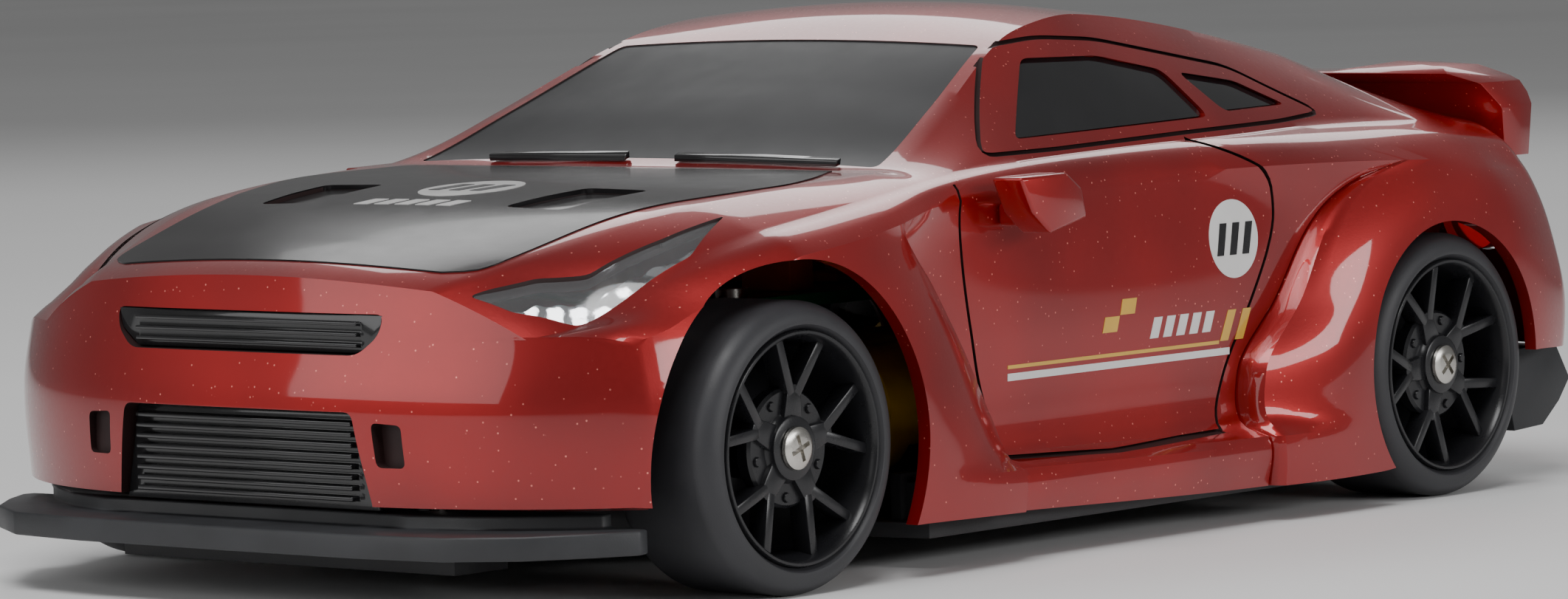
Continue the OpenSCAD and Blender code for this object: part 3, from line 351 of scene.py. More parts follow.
def side_point(s, level):
    """A point [s, x, z] of the side, at a share of the height from sill to shoulder."""
    at = s
    for _ in range(2):
        z = mix(along(SILL, at), along(SHOULDER, at)[1], level)
        at = warp(s, min(z, 39.4))
    shoulder = along(SHOULDER, at)
    z = mix(along(SILL, at), shoulder[1], level)
    return [at, mix(side_x(at, z), shoulder[0], level**6), z]


def half_section(s):
    """From the sill up to the centre of the roof, as [s, x, z]."""
    points = [side_point(s, 0.97 * i / (SIDE_STEPS - 1)) for i in range(SIDE_STEPS)]
    for i, (share, lift) in enumerate(((0, 0), (0.3, 0.42), (0.55, 0.5), (0.8, 0.3))):
        at = mix(side_point(s, 1)[0], s, share)
        shoulder, belt = along(SHOULDER, at), along(BELT, at)
        x, z = (mix(a, b, share) + lift for a, b in zip(shoulder, belt))
        points.append([at, x, z])
    points += [[s, *glass_point(s, i / GLASS_STEPS)] for i in range(GLASS_STEPS)]
    points += [[s, *roof_point(s, 1 - i / ROOF_STEPS)] for i in range(ROOF_STEPS + 1)]
    return points


def inner_half(s):
    """The half section moved inwards by the wall, with its foot at the same height."""
    h = half_section(s)
    out = [[h[0][0], h[0][1] - WALL, h[0][2]]]
    for i in range(1, len(h)):
        a = h[i - 1]
        b = h[i + 1] if i + 1 < len(h) else [s, -h[i - 1][1], h[i - 1][2]]
        dx, dz = b[1] - a[1], b[2] - a[2]
        size = max(hypot(dx, dz), 1e-6)
        out.append([h[i][0], h[i][1] - WALL * dz / size, h[i][2] + WALL * dx / size])
    return out


# ---------- mesh making ----------


def mesh_object(name, points, faces, material, smooth=30):
    """A mesh object from points in millimetres. It shades smooth up to the angle smooth, in degrees."""
    mesh = bpy.data.meshes.new(name)
    mesh.from_pydata([tuple(c * MM for c in p) for p in points], [], faces)
    mesh.materials.append(material)
    piece = bpy.data.objects.new(name, mesh)
    bpy.context.scene.collection.objects.link(piece)
    face_outwards(piece, 1e-6)
    soften(piece, smooth)
    return piece


def face_outwards(piece, merge=0):
    """Merges points closer than merge, in metres, and turns every face outwards."""
    bm = bmesh.new()
    bm.from_mesh(piece.data)
    if merge:
        bmesh.ops.remove_doubles(bm, verts=bm.verts, dist=merge)
    bmesh.ops.recalc_face_normals(bm, faces=bm.faces)
    bm.to_mesh(piece.data)
    bm.free()


def soften(piece, angle):
    piece.data.shade_smooth()
    piece.data.set_sharp_from_angle(angle=radians(angle))


def apply_all(piece):
    """Makes a piece's modifiers permanent."""
    graph = bpy.context.evaluated_depsgraph_get()
    done = bpy.data.meshes.new_from_object(piece.evaluated_get(graph))
    piece.modifiers.clear()
    piece.data = done


def boolean(piece, cutters, operation="DIFFERENCE"):
    """Cuts or keeps with closed cutter objects, then deletes them."""
    for cutter in cutters:
        step = piece.modifiers.new("cut", "BOOLEAN")
        step.operation = operation
        step.solver = "MANIFOLD"
        step.object = cutter
    apply_all(piece)
    for cutter in cutters:
        bpy.data.objects.remove(cutter)


def bevel(piece, width_mm):
    """Rounds the sharp edges of a piece."""
    step = piece.modifiers.new("bevel", "BEVEL")
    step.width = width_mm * MM
    step.segments = 2
    step.limit_method = "ANGLE"
    step.angle_limit = radians(35)
    apply_all(piece)


def grid_faces(rows, cols, base=0, flip=False):
    """Faces of a grid of points, stored row by row from the point number base."""
    faces = []
    for i in range(rows - 1):
        for j in range(cols - 1):
            a = base + i * cols + j
            b, c, d = a + 1, a + 1 + cols, a + cols
            faces.append((a, d, c, b) if flip else (a, b, c, d))
    return faces


def closed_band(name, upper, lower, material):
    """A band that runs round in a loop: its last row joins its first."""
    rows, cols = len(upper), len(upper[0])
    section = [up + low[::-1] for up, low in zip(upper, lower)]
    points = [p for row in section for p in row]
    n = 2 * cols
    faces = [(i * n + j, i * n + (j + 1) % n, (i + 1) % rows * n + (j + 1) % n, (i + 1) % rows * n + j)
             for i in range(rows) for j in range(n)]
    return mesh_object(name, points, faces, material, 40)


def plate(name, upper, lower, material):
    """A closed plate between two grids of points of the same shape."""
    rows, cols = len(upper), len(upper[0])
    size = rows * cols
    points = [p for row in upper for p in row] + [p for row in lower for p in row]
    faces = grid_faces(rows, cols) + grid_faces(rows, cols, size, flip=True)
    edge = ([(0, j) for j in range(cols)] + [(i, cols - 1) for i in range(1, rows)]
            + [(rows - 1, j) for j in range(cols - 2, -1, -1)] + [(i, 0) for i in range(rows - 2, 0, -1)])
    loop = [i * cols + j for i, j in edge]
    for a, b in zip(loop, loop[1:] + loop[:1]):
        faces.append((b, a, a + size, b + size))
    return mesh_object(name, points, faces, material, 40)


def prism(name, outline, low, high, axis):
    """A cutter from an outline: axis X takes (y, z), axis Y takes (x, z), axis Z takes (x, y)."""
    order = {"X": lambda p, h: (h, p[0], p[1]), "Y": lambda p, h: (p[0], h, p[1]),
             "Z": lambda p, h: (p[0], p[1], h)}[axis]
    n = len(outline)
    points = [order(p, low) for p in outline] + [order(p, high) for p in outline]
    flat = [Vector((p[0], p[1], 0)) for p in outline]
    caps = tessellate_polygon([flat])
    faces = [tuple(c) for c in caps] + [tuple(i + n for i in reversed(c)) for c in caps]
    faces += [(i, (i + 1) % n, (i + 1) % n + n, i + n) for i in range(n)]
    return mesh_object(name, points, faces, SEAM)


def circle(cx, cy, r, n=48):
    return [(cx + r * cos(2 * pi * i / n), cy + r * sin(2 * pi * i / n)) for i in range(n)]


def grown(outline, d):
    """The outline moved outwards by d at its corners."""
    n = len(outline)
    pairs = [(outline[i], outline[(i + 1) % n]) for i in range(n)]
    area = sum(a[0] * b[1] - b[0] * a[1] for a, b in pairs)
    turn = 1 if area > 0 else -1
    out = []
    for i in range(n):
        a, b, c = Vector(outline[i - 1]), Vector(outline[i]), Vector(outline[(i + 1) % n])
        before, after = (b - a).normalized(), (c - b).normalized()
        n1, n2 = Vector((before.y, -before.x)), Vector((after.y, -after.x))
        middle = (n1 + n2).normalized()
        out.append(tuple(b + middle * turn * d / max(middle.dot(n1), 0.5)))
    return out


def rounded(outline, radius, steps=5):
    """The outline with each corner replaced by a short arc-like curve."""
    n = len(outline)
    out = []
    for i in range(n):
        a, b, c = Vector(outline[i - 1]), Vector(outline[i]), Vector(outline[(i + 1) % n])
        reach = min(radius, (a - b).length * 0.45, (c - b).length * 0.45)
        p, q = b + (a - b).normalized() * reach, b + (c - b).normalized() * reach
        for k in range(steps + 1):
            t = k / steps
            out.append(tuple(p * (1 - t)**2 + b * 2 * t * (1 - t) + q * t**2))
    return out


def flip_x(outline):
    """The same outline on the other side of the car."""
    return [(-p[0], p[1]) for p in reversed(outline)]


def join(name, pieces):
    """Joins meshes into one object called name."""
    target = pieces[0]
    with bpy.context.temp_override(active_object=target, selected_editable_objects=pieces):
        bpy.ops.object.join()
    target.name = name
    return target


def mirror_of(piece, name):
    other = piece.copy()
    other.data = piece.data.copy()
    other.name = name
    bpy.context.scene.collection.objects.link(other)
    other.data.transform(Matrix.Scale(-1, 4, (1, 0, 0)))
    other.data.flip_normals()
    return other


def finish_both(left, word):
    """Finishes a piece on the left and its mirror image, which stand for the CAD's left and right nodes."""
    right = mirror_of(left, f"right_{word}_moulded")
    finish_piece(left, "car", [f"left_{word}"])
    finish_piece(right, "car", [f"right_{word}"])


def refined(node, material, width_mm):
    """A copy of a CAD node with rounded edges, standing for it."""
    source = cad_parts[node]
    piece = bpy.data.objects.new(node + "_finished", source.data.copy())
    bpy.context.scene.collection.objects.link(piece)
    piece.data.materials.clear()
    piece.data.materials.append(material)
    bm = bmesh.new()
    bm.from_mesh(piece.data)
    bmesh.ops.remove_doubles(bm, verts=bm.verts, dist=2e-6)
    bmesh.ops.dissolve_limit(bm, angle_limit=radians(1), verts=bm.verts, edges=bm.edges)
    bm.to_mesh(piece.data)
    bm.free()
    bevel(piece, width_mm)
    soften(piece, 40)
    finish_piece(piece, "car", [node])


def finish_piece(piece, body, nodes):
    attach(piece, body)
    if nodes:
        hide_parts(*nodes)


# ---------- the body shell ----------
SCREEN_ENDS = (-24.5, 2.8)
REAR_GLASS_ENDS = (37, 65)
SCREEN_REACH = 0.93
REAR_REACH = 0.9
DOOR_GLASS = [(-5.4, 44.4), (5.2, 52.6), (18, 52.4), (28.6, 50.4), (31, 45.2)]
QUARTER_GLASS = [(35, 45.6), (31.8, 50), (41.5, 48.6), (47.4, 45.8)]
PANE_ENDS = (-10, 52)
LAMP_ENDS = (-89.2, -53)
LAMP = [(28.2, -83), (31.4, -76.6), (35, -72.6), (37.6, -64), (39, -56), (41.2, -64), (39.2, -70.6),
        (36.8, -77), (32.4, -81.2)]
UPPER_MOUTH = [(-19.2, 30.3), (19.2, 30.3), (18.8, 28.1), (16.4, 26.1), (-16.4, 26.1), (-18.8, 28.1)]
LOWER_MOUTH = [(-16.4, 20.4), (16.4, 20.4), (18.4, 10.1), (-18.4, 10.1)]
FOG_MOUTH = [(18.9, 19.4), (22.6, 19.2), (22.8, 14.8), (19.3, 14.8)]
TAIL_LAMPS = [(23, 31), (34, 31)]
TAIL_LAMP_R = 4.6
VENT = [(-62, 0.42), (-62, 0.66), (-50, 0.66), (-50, 0.42)]
ARCHES = [(FRONT_Y, 19.4), (REAR_Y, 16.6)]


def stations():
    """Places along the body, closer together where it turns quickly."""
    near = [-0.9, -0.6, -0.4, -0.28, -0.14, 0, 0.14, 0.28, 0.4, 0.6, 0.9]
    fine = [FRONT_CREASE_S + d for d in near] + [REAR_CREASE_S + d for d in near]
    s = NOSE_S
    while s < TAIL_S - 0.3:
        if min(abs(s - FRONT_CREASE_S), abs(s - REAR_CREASE_S)) > 1.1:
            fine.append(s)
        quick = s < -80 or s > 84
        s += 0.6 if quick else 1.1
    return sorted(fine) + [TAIL_S]


def end_soften(s):
    """The scale of a section near either end, a little under 1 so that the ends round over."""
    nose = clip((NOSE_S + 4 - s) / 4)
    tail = clip((s - TAIL_S + 4) / 4)
    return 1 - 0.03 * max(nose, tail)**2


def middle_share(x):
    """1 across the middle of the nose, fading to 0 before its corners."""
    return clip((32 - abs(x)) / 14)


def skin(section, places, extra):
    """Rows across the car, each a full ring of points with its nose or tail lean applied."""
    rows = []
    for s in places:
        half = section(s)
        ring = half + [[at, -x, z] for at, x, z in reversed(half[:-1])]
        shift = extra(s)
        rows.append([(x, y + shift * middle_share(x), z) for x, y, z in (placed(*p) for p in ring)])
    return rows


def outer_section(s):
    """The half section, drawn in near the ends."""
    draw = end_soften(s)
    return [[at, x * draw, mix(22, z, draw)] for at, x, z in half_section(s)]


def cap_rows(row, cols):
    """Turns one end ring into a grid that closes it: pairs of side points joined by straight rows."""
    n = len(row)
    ridge = SIDE_STEPS + 4 + GLASS_STEPS
    grid = []
    for k in range(ridge):
        left, right = row[k], row[n - 1 - k]
        grid.append([(mix(left[0], right[0], j / cols), left[2]) for j in range(cols + 1)])
    grid.append([(p[0], p[2]) for p in row[ridge:n - ridge]])
    return grid


def body_mesh():
    """The outer and the inner skin, each closed by grids at the nose and tail, joined along their feet."""
    places = stations()
    outer = skin(outer_section, places, lambda s: 0)
    shift = [mix(INNER_NOSE_S, INNER_TAIL_S, (s - NOSE_S) / (TAIL_S - NOSE_S)) for s in places]
    inner = skin(inner_half, shift, lambda s: NOSE_THICKER if s == shift[0] else 0)
    ring = len(outer[0])
    cols = 2 * ROOF_STEPS
    points, faces = [], []

    def add_skin(rows, ends, flip, extra):
        base = len(points)
        points.extend(p for row in rows for p in row)
        faces.extend(grid_faces(len(rows), ring, base, flip))
        foots = []
        for end, s in ((0, ends[0]), (len(rows) - 1, ends[1])):
            grid = cap_rows(rows[end], cols)
            start = len(points)
            add = extra if end == 0 else 0
            for line in grid:
                points.extend((x, real_y(s, x, z) + add * middle_share(x), z) for x, z in line)
            faces.extend(grid_faces(len(grid), cols + 1, start, flip != (end == 0)))
            foots.append([start + j for j in range(cols + 1)])
        left = [base + i * ring for i in range(len(rows))]
        right = [base + i * ring + ring - 1 for i in range(len(rows))]
        return left + foots[1] + right[::-1] + foots[0][::-1]

    outer_foot = add_skin(outer, (places[0], places[-1]), False, 0)
    inner_foot = add_skin(inner, (shift[0], shift[-1]), True, NOSE_THICKER)
    n = len(outer_foot)
    for i in range(n):
        k = (i + 1) % n
        faces.append((outer_foot[i], inner_foot[i], inner_foot[k], outer_foot[k]))
    return mesh_object("body_shell_painted", points, faces, RED, 32)


def skin_x(y, z):
    """Half width of the finished side at a real place (y, z) on the car."""
    s = y
    for _ in range(6):
        x = side_point_x(s, z)
        s += y - real_y(s, x, z)
    return side_point_x(s, z)


def side_point_x(s, z):
    """Half width at station s and height z, anywhere from the sill to the roof's ridge."""
    low = along(SILL, s)
    shoulder = along(SHOULDER, s)
    belt = along(BELT, s)
    ridge = along(RIDGE, s)
    if z <= shoulder[1]:
        level = clip((z - low) / (shoulder[1] - low))
        return mix(side_x(s, z), shoulder[0], level**6)
    if z <= belt[1]:
        t = clip((z - shoulder[1]) / max(belt[1] - shoulder[1], 0.1))
        return mix(shoulder[0], belt[0], t) + 2 * t * (1 - t)
    g = clip((z - belt[1]) / max(ridge[1] - belt[1], 0.1))
    return mix(belt[0], ridge[0], g) + GLASS_BOW * g * (1 - g)


def dense(line, closed):
    """Points about 0.8 apart along a line of corners."""
    step = 0.8
    ends = line + [line[0]] if closed else line
    out = []
    for a, b in zip(ends, ends[1:]):
        n = max(int(hypot(b[0] - a[0], b[1] - a[1]) / step), 1)
        out += [(mix(a[0], b[0], i / n), mix(a[1], b[1], i / n)) for i in range(n)]
    return out if closed else out + [ends[-1]]


def seam_cutter(line, side, closed):
    """A band along a line of (y, z) on the body's side, from the seam's floor to just above the paint."""
    pts = dense(line, closed)
    n = len(pts)
    upper, lower = [], []
    for i, p in enumerate(pts):
        a = pts[i - 1] if (i or closed) else pts[0]
        b = pts[(i + 1) % n] if (i < n - 1 or closed) else pts[-1]
        d = Vector((b[0] - a[0], b[1] - a[1])).normalized()
        across = Vector((-d.y, d.x)) * SEAM_WIDTH / 2
        row_up, row_low = [], []
        for t in (-1, 0, 1):
            y, z = p[0] + across.x * t, p[1] + across.y * t
            x = skin_x(y, z)
            row_up.append((side * (x + SEAM_CUT_TOP), y, z))
            row_low.append((side * (x - SEAM_DEPTH), y, z))
        upper.append(row_up)
        lower.append(row_low)
    return (closed_band if closed else plate)("seam", upper, lower, SEAM)


def curve_through(points):
    """A smooth line through points (y, z), with a point about every millimetre."""
    ext = [points[0]] + list(points) + [points[-1]]
    out = []
    for i in range(1, len(ext) - 2):
        p0, p1, p2, p3 = (Vector(ext[i + k]) for k in (-1, 0, 1, 2))
        n = max(int((p2 - p1).length), 2)
        for k in range(n):
            t = k / n
            out.append(tuple(0.5 * (2 * p1 + (p2 - p0) * t + (2 * p0 - 5 * p1 + 4 * p2 - p3) * t**2
                                    + (3 * p1 - p0 - 3 * p2 + p3) * t**3)))
    return out + [tuple(points[-1])]


DOOR_SEAM = [(-16.6, 10.8), (-17.6, 13), (-20.4, 20.5), (-22.4, 30), (-23, 40.4)]
DOOR_REAR_SEAM = [(21.2, 10.6), (24, 17), (32.2, 30), (33.4, 36), (31, 39.6), (24, 43)]
DOOR_SILL_SEAM = [(-16.6, 10.8), (0, 10.2), (21.2, 10.6)]
GLASS_SEAM = [(-13.4, 42.9), (1.2, 54.2), (10, 54.9), (20, 54.3), (43, 50.3), (53, 44.6), (44, 44),
              (24, 43.6), (0, 43)]
SEAM_WIDTH = 0.45
SEAM_DEPTH = 0.55
SEAM_CUT_TOP = 0.8


def seam_cutters():
    cutters = []
    for side in (1, -1):
        for line, closed in ((curve_through(DOOR_SEAM), False), (curve_through(DOOR_REAR_SEAM), False),
                             (DOOR_SILL_SEAM, False), (rounded(GLASS_SEAM, 2.5, 4), True)):
            cutters.append(seam_cutter(line, side, closed))
    return cutters


def top_outline(ends, reach, grow):
    """Plan outline (x, y) of a window in the roof between two stations."""
    edge = []
    steps = 12
    for i in range(steps + 1):
        s = mix(*ends, i / steps)
        edge.append((along(RIDGE, s)[0] * reach + grow, s))
    return edge + [(-x, y) for x, y in reversed(edge)]


def vent_cutters():
    """Cutters for the two bonnet vents, whose outline is in (station, share of the ridge's half width)."""
    cutters = []
    for side in (1, -1):
        outline = [(side * along(RIDGE, s)[0] * f, s) for s, f in VENT]
        cutters.append(prism("vent", rounded(grown(outline, 0.1), 1.2), 36, 46, "Z"))
    return cutters


def body_shell():
    """The painted body with its arches, window, mouth, lamp and vent openings and its door seams."""
    body = body_mesh()
    cutters = []
    for y, r in ARCHES:
        for side in (1, -1):
            cutters.append(prism("arch", circle(y, AXLE_Z, r, 128), side * 28, side * BEYOND_SIDE, "X"))
    for side in (1, -1):
        for outline in (DOOR_GLASS, QUARTER_GLASS):
            edge = rounded(grown(outline, FIT), 1.2)
            cutters.append(prism("pane", edge, side * 24, side * BEYOND_SIDE, "X"))
    boolean(body, cutters)
    cutters = [prism("screen", rounded(top_outline(SCREEN_ENDS, SCREEN_REACH, FIT), 1.5), 41, OVER_ROOF, "Z"),
               prism("rear", rounded(top_outline(REAR_GLASS_ENDS, REAR_REACH, FIT), 1.5), 44, OVER_ROOF, "Z"),
               prism("upper", rounded(UPPER_MOUTH, 1.2), BEYOND_NOSE, -85.2, "Y"),
               prism("lower", rounded(LOWER_MOUTH, 1.0), BEYOND_NOSE, -86, "Y")]
    for outline in (LAMP, flip_x(LAMP)):
        cutters.append(prism("lamp", rounded(grown(outline, FIT), 0.8, 3), 24, 44, "Z"))
    for outline in (FOG_MOUTH, flip_x(FOG_MOUTH)):
        cutters.append(prism("fog", rounded(outline, 0.7), BEYOND_NOSE, -86.9, "Y"))
    for x, z in TAIL_LAMPS:
        for side in (1, -1):
            cutters.append(prism("tail", circle(side * x, z, TAIL_LAMP_R), 84, BEYOND_TAIL, "Y"))
    boolean(body, cutters + vent_cutters())
    boolean(body, seam_cutters())
    widest = max(v.co.x for v in body.data.vertices)
    body.data.transform(Matrix.Scale(FLARE_X * MM / widest, 4, (1, 0, 0)))
    rearmost = max(v.co.y for v in body.data.vertices)
    body.data.transform(Matrix.Scale(TAIL_Y * MM / rearmost, 4, (0, 1, 0)))
    soften(body, 30)
    finish_piece(body, "car", ["body_shell"])


# ---------- camera, floor and light ----------
EYE = (497.5, -587.0, 76.5)
TARGET = (-2.32, 2.0, 25.42)
ROLL = radians(1.47)
FOCAL_LENGTH = 156.4
FLOOR_HALF = 4000
FLOOR_ROWS = 16
SKY_STRENGTH = 0.18


def area_light(name, place, aim, size, power):
    """A rectangular light. The place, aim and size are in metres."""
    light = bpy.data.lights.new(name, "AREA")
    light.shape = "RECTANGLE"
    light.size, light.size_y = size
    light.energy = power
    lamp = bpy.data.objects.new(name, light)
    turn = (Vector(aim) - Vector(place)).to_track_quat("-Z", "Y").to_matrix()
    lamp.matrix_world = Matrix.Translation(place) @ turn.to_4x4()
    bpy.context.scene.collection.objects.link(lamp)


def camera_and_stage():
    """A camera low on the car's front left, a pale floor and four soft lights."""
    eye = Vector(EYE) * MM
    target = Vector(TARGET) * MM
    ahead = (target - eye).normalized()
    right = ahead.cross(Vector((0, 0, 1))).normalized()
    down = ahead.cross(right)
    right, down = cos(ROLL) * right + sin(ROLL) * down, -sin(ROLL) * right + cos(ROLL) * down
    lens = bpy.data.cameras.new("camera")
    lens.lens = FOCAL_LENGTH
    lens.sensor_width = 36
    lens.clip_start = 0.01
    camera = bpy.data.objects.new("camera", lens)
    turn = Matrix((right, -down, -ahead)).transposed()
    camera.matrix_world = Matrix.Translation(eye) @ turn.to_4x4()
    bpy.context.scene.collection.objects.link(camera)
    bpy.context.scene.camera = camera

    n = Nodes("floor_pale")
    n.link(n.ramp(n.noise(300), (0.82, 0.82, 0.82), (0.88, 0.88, 0.88)), n.shader.inputs["Base Color"])
    n.set(Roughness=0.6)
    across = [mix(-FLOOR_HALF, FLOOR_HALF, i / FLOOR_ROWS) for i in range(FLOOR_ROWS + 1)]
    points = [(x, y, 0) for x in across for y in across]
    mesh_object("floor", points, grid_faces(FLOOR_ROWS + 1, FLOOR_ROWS + 1), n.material)

    world = bpy.data.worlds.new("studio")
    bpy.context.scene.world = world
    world.use_nodes = True
    sky = world.node_tree.nodes["Background"]
    sky.inputs["Color"].default_value = (1, 1, 1, 1)
    sky.inputs["Strength"].default_value = SKY_STRENGTH
    area_light("key", (0.15, -0.35, 0.75), (0, 0, 0.02), (0.5, 0.35), 4.5)
    area_light("side", (0.85, 0.15, 0.28), (0, 0, 0.03), (0.7, 0.16), 2.6)
    area_light("front", (-0.25, -0.9, 0.35), (0, 0, 0.03), (0.9, 0.45), 2.4)
    area_light("back", (-0.5, 0.7, 0.6), (0, 0, 0.03), (0.6, 0.3), 1.5)


# ---------- glass, lamps and trim ----------


def top_sheet(name, ends, reach, inset, thick, material, rows=24, cols=40, bow=None):
    """A plate that follows the roof or bonnet between two stations."""
    upper, lower = [], []
    for i in range(rows + 1):
        s = mix(*ends, i / rows)
        share = bow(s) if bow else reach
        up, low = [], []
        for j in range(cols + 1):
            f = share * mix(-1, 1, j / cols)
            x, z = roof_point(s, abs(f))
            sign = -1 if f < 0 else 1
            up.append(placed(s, sign * (x - 0.25 * abs(f) * inset), z - inset))
            low.append(placed(s, sign * (x - 0.25 * abs(f) * (inset + thick)), z - inset - thick))
        upper.append(up)
        lower.append(low)
    return plate(name, upper, lower, material)


def side_sheet(name, ends, low_g, high_g, inset, thick, material, rows=60, cols=16):
    """A plate that follows the left side glass or the lamp between two stations."""
    upper, lower = [], []
    for i in range(rows + 1):
        s = mix(*ends, i / rows)
        up, low = [], []
        for j in range(cols + 1):
            x, z = glass_point(s, mix(low_g, high_g, j / cols))
            up.append(placed(s, x - inset, z - 0.75 * inset))
            low.append(placed(s, x - inset - thick, z - 0.75 * (inset + thick)))
        upper.append(up)
        lower.append(low)
    return plate(name, upper, lower, material)


def windows():
    """The smoked screens, and a door and a quarter pane on each side."""
    for node, ends, reach in (("windscreen", SCREEN_ENDS, SCREEN_REACH),
                              ("rear_window", REAR_GLASS_ENDS, REAR_REACH)):
        screen = top_sheet(node + "_moulded", ends, reach, 0.15, 1.2, SCREEN)
        edge = prism("edge", rounded(top_outline(ends, reach, 0), 1.4), 30, 70, "Z")
        boolean(screen, [edge], "INTERSECT")
        soften(screen, 40)
        finish_piece(screen, "car", [node])
    panes = []
    for outline in (DOOR_GLASS, QUARTER_GLASS):
        pane = side_sheet("pane", PANE_ENDS, 0, 1, 0.35, 1.0, GLASS_BLACK)
        boolean(pane, [prism("edge", rounded(outline, 1.1), 20, BEYOND_SIDE, "X")], "INTERSECT")
        panes.append(pane)
    left = join("left_windows_moulded", panes)
    soften(left, 40)
    finish_both(left, "windows")


PANEL_HALF = [[-85.4, 23], [-84, 26], [-80, 27.4], [-60, 30.4], [-43, 35.2], [-36, 34], [-28.2, 30.5]]
PANEL_LIFT = 0.14


def bonnet_panel():
    """The gloss black bonnet skin, a little proud of the red body."""

    def share(s):
        return along(PANEL_HALF, s) / along(RIDGE, s)[0]

    ends = (PANEL_HALF[0][0], PANEL_HALF[-1][0])
    panel = top_sheet("bonnet_panel", ends, 1, -PANEL_LIFT, 0.5, PANEL_BLACK, 70, 60, bow=share)
    boolean(panel, vent_cutters())
    soften(panel, 40)
    finish_piece(panel, "car", [])


# ---------- printed graphics ----------
INK_LIFT = 0.05
OVER_INK = 0.11
INK_ROOT = -0.1


def on_door(side):
    """Maps a place on the door (y, z) and a height above the paint to a point."""
    return lambda y, z, lift: (side * (skin_x(y, z) + lift), y, z)


def on_bonnet(x, y, lift):
    """The point over a place on the bonnet, at a height above its black skin."""
    s = y
    for _ in range(6):
        s += y - real_y(s, x, 41)
    f = abs(x) / along(RIDGE, s)[0]
    return (x, y, roof_point(s, f)[1] + PANEL_LIFT + lift)


def ink(name, corners, surface, material, steps=(12, 4), lift=INK_LIFT):
    """A thin printed patch over four corners, each (across, up) on a surface."""
    upper, lower = [], []
    for i in range(steps[0] + 1):
        u = i / steps[0]
        start = [mix(corners[0][k], corners[1][k], u) for k in (0, 1)]
        end = [mix(corners[3][k], corners[2][k], u) for k in (0, 1)]
        row = [[mix(start[k], end[k], j / steps[1]) for k in (0, 1)] for j in range(steps[1] + 1)]
        upper.append([surface(a, b, lift) for a, b in row])
        lower.append([surface(a, b, INK_ROOT) for a, b in row])
    return plate(name, upper, lower, material)


def ink_disc(name, centre, radius, surface, material, steps=24):
    """A round printed patch, made from a square grid drawn into a disc."""
    upper, lower = [], []
    for i in range(steps + 1):
        u = mix(-1, 1, i / steps)
        row = []
        for j in range(steps + 1):
            v = mix(-1, 1, j / steps)
            across = radius * u * sqrt(1 - v * v / 2)
            up = radius * v * sqrt(1 - u * u / 2)
            row.append((centre[0] + across, centre[1] + up))
        upper.append([surface(a, b, INK_LIFT) for a, b in row])
        lower.append([surface(a, b, INK_ROOT) for a, b in row])
    return plate(name, upper, lower, material)


def slanted(a, b, width, height, lean):
    """Corners of a leaning bar whose lower left corner is at (a, b)."""
    return [(a, b), (a + width, b), (a + width + lean, b + height), (a + lean, b + height)]


def graphics():
    """Plain bars, blocks and spots on the doors and the bonnet; black bars lie over the white spots."""
    for label, side in (("left", 1), ("right", -1)):
        door = on_door(side)
        white = [ink("line", slanted(-15, 18.8, 40, 0.8, 0), door, WHITE_INK, (60, 2)),
                 ink_disc("roundel", (26.1, 31.7), 4.4, door, WHITE_INK)]
        white += [ink("bar", slanted(10.2 + 2.4 * i, 21.6, 1.5, 2.3, 0.8), door, WHITE_INK) for i in range(5)]
        yellow = [ink("line", slanted(-15, 20.1, 38, 0.4, 0), door, YELLOW_INK, (60, 2))]
        yellow += [ink("block", slanted(a, b, 2.6, 1.7, 0.5), door, YELLOW_INK)
                   for a, b in ((1.6, 22.8), (4.8, 24.6))]
        yellow += [ink("bar", slanted(a, 20.4, 1.5, 3.4, 1.4), door, YELLOW_INK) for a in (23.2, 26)]
        black = [ink("bar", slanted(22.9 + 2.3 * i, 29.9, 1.2, 3.6, 0.9), door, BLACK_INK, lift=OVER_INK)
                 for i in range(3)]
        for name, group in (("white", white), ("yellow", yellow), ("black", black)):
            finish_piece(join(f"{label}_door_{name}_ink", group), "car", [])
    white = [ink_disc("roundel", (0, -52), 5.8, on_bonnet, WHITE_INK)]
    white += [ink("bar", slanted(-7.4 + 3 * i, -62.6, 1.9, 2.6, 0.8), on_bonnet, WHITE_INK) for i in range(5)]
    black = [ink("bar", slanted(-4.2 + 3 * i, -54.3, 1.6, 4.6, 0.9), on_bonnet, BLACK_INK, lift=OVER_INK)
             for i in range(3)]
    finish_piece(join("bonnet_white_ink", white), "car", [])
    finish_piece(join("bonnet_black_ink", black), "car", [])


def lamps():
    """Clear headlight covers over dimpled chrome reflectors."""
    outer = side_sheet("left_headlight_lens_moulded", LAMP_ENDS, -0.1, 1.1, 0.3, 0.7, LENS, 70, 20)
    boolean(outer, [prism("edge", rounded(LAMP, 0.7, 3), 20, 44, "Z")], "INTERSECT")
    soften(outer, 40)
    finish_both(outer, "headlight_lens")
    bowl = side_sheet("left_headlight_bowl_moulded", LAMP_ENDS, -0.1, 1.1, 2.4, 0.8, CHROME, 90, 24)
    for v in bowl.data.vertices:
        wave = sin(v.co.y / MM * 1.9) * cos(v.co.x / MM * 1.7)
        v.co.z += 0.28 * MM * wave
    boolean(bowl, [prism("edge", grown(LAMP, -0.3), 18, 42, "Z")], "INTERSECT")
    soften(bowl, 25)
    finish_both(bowl, "headlight_bowl")


camera_and_stage()
body_shell()
windows()
bonnet_panel()
lamps()
graphics()

# ---------- wheels ----------


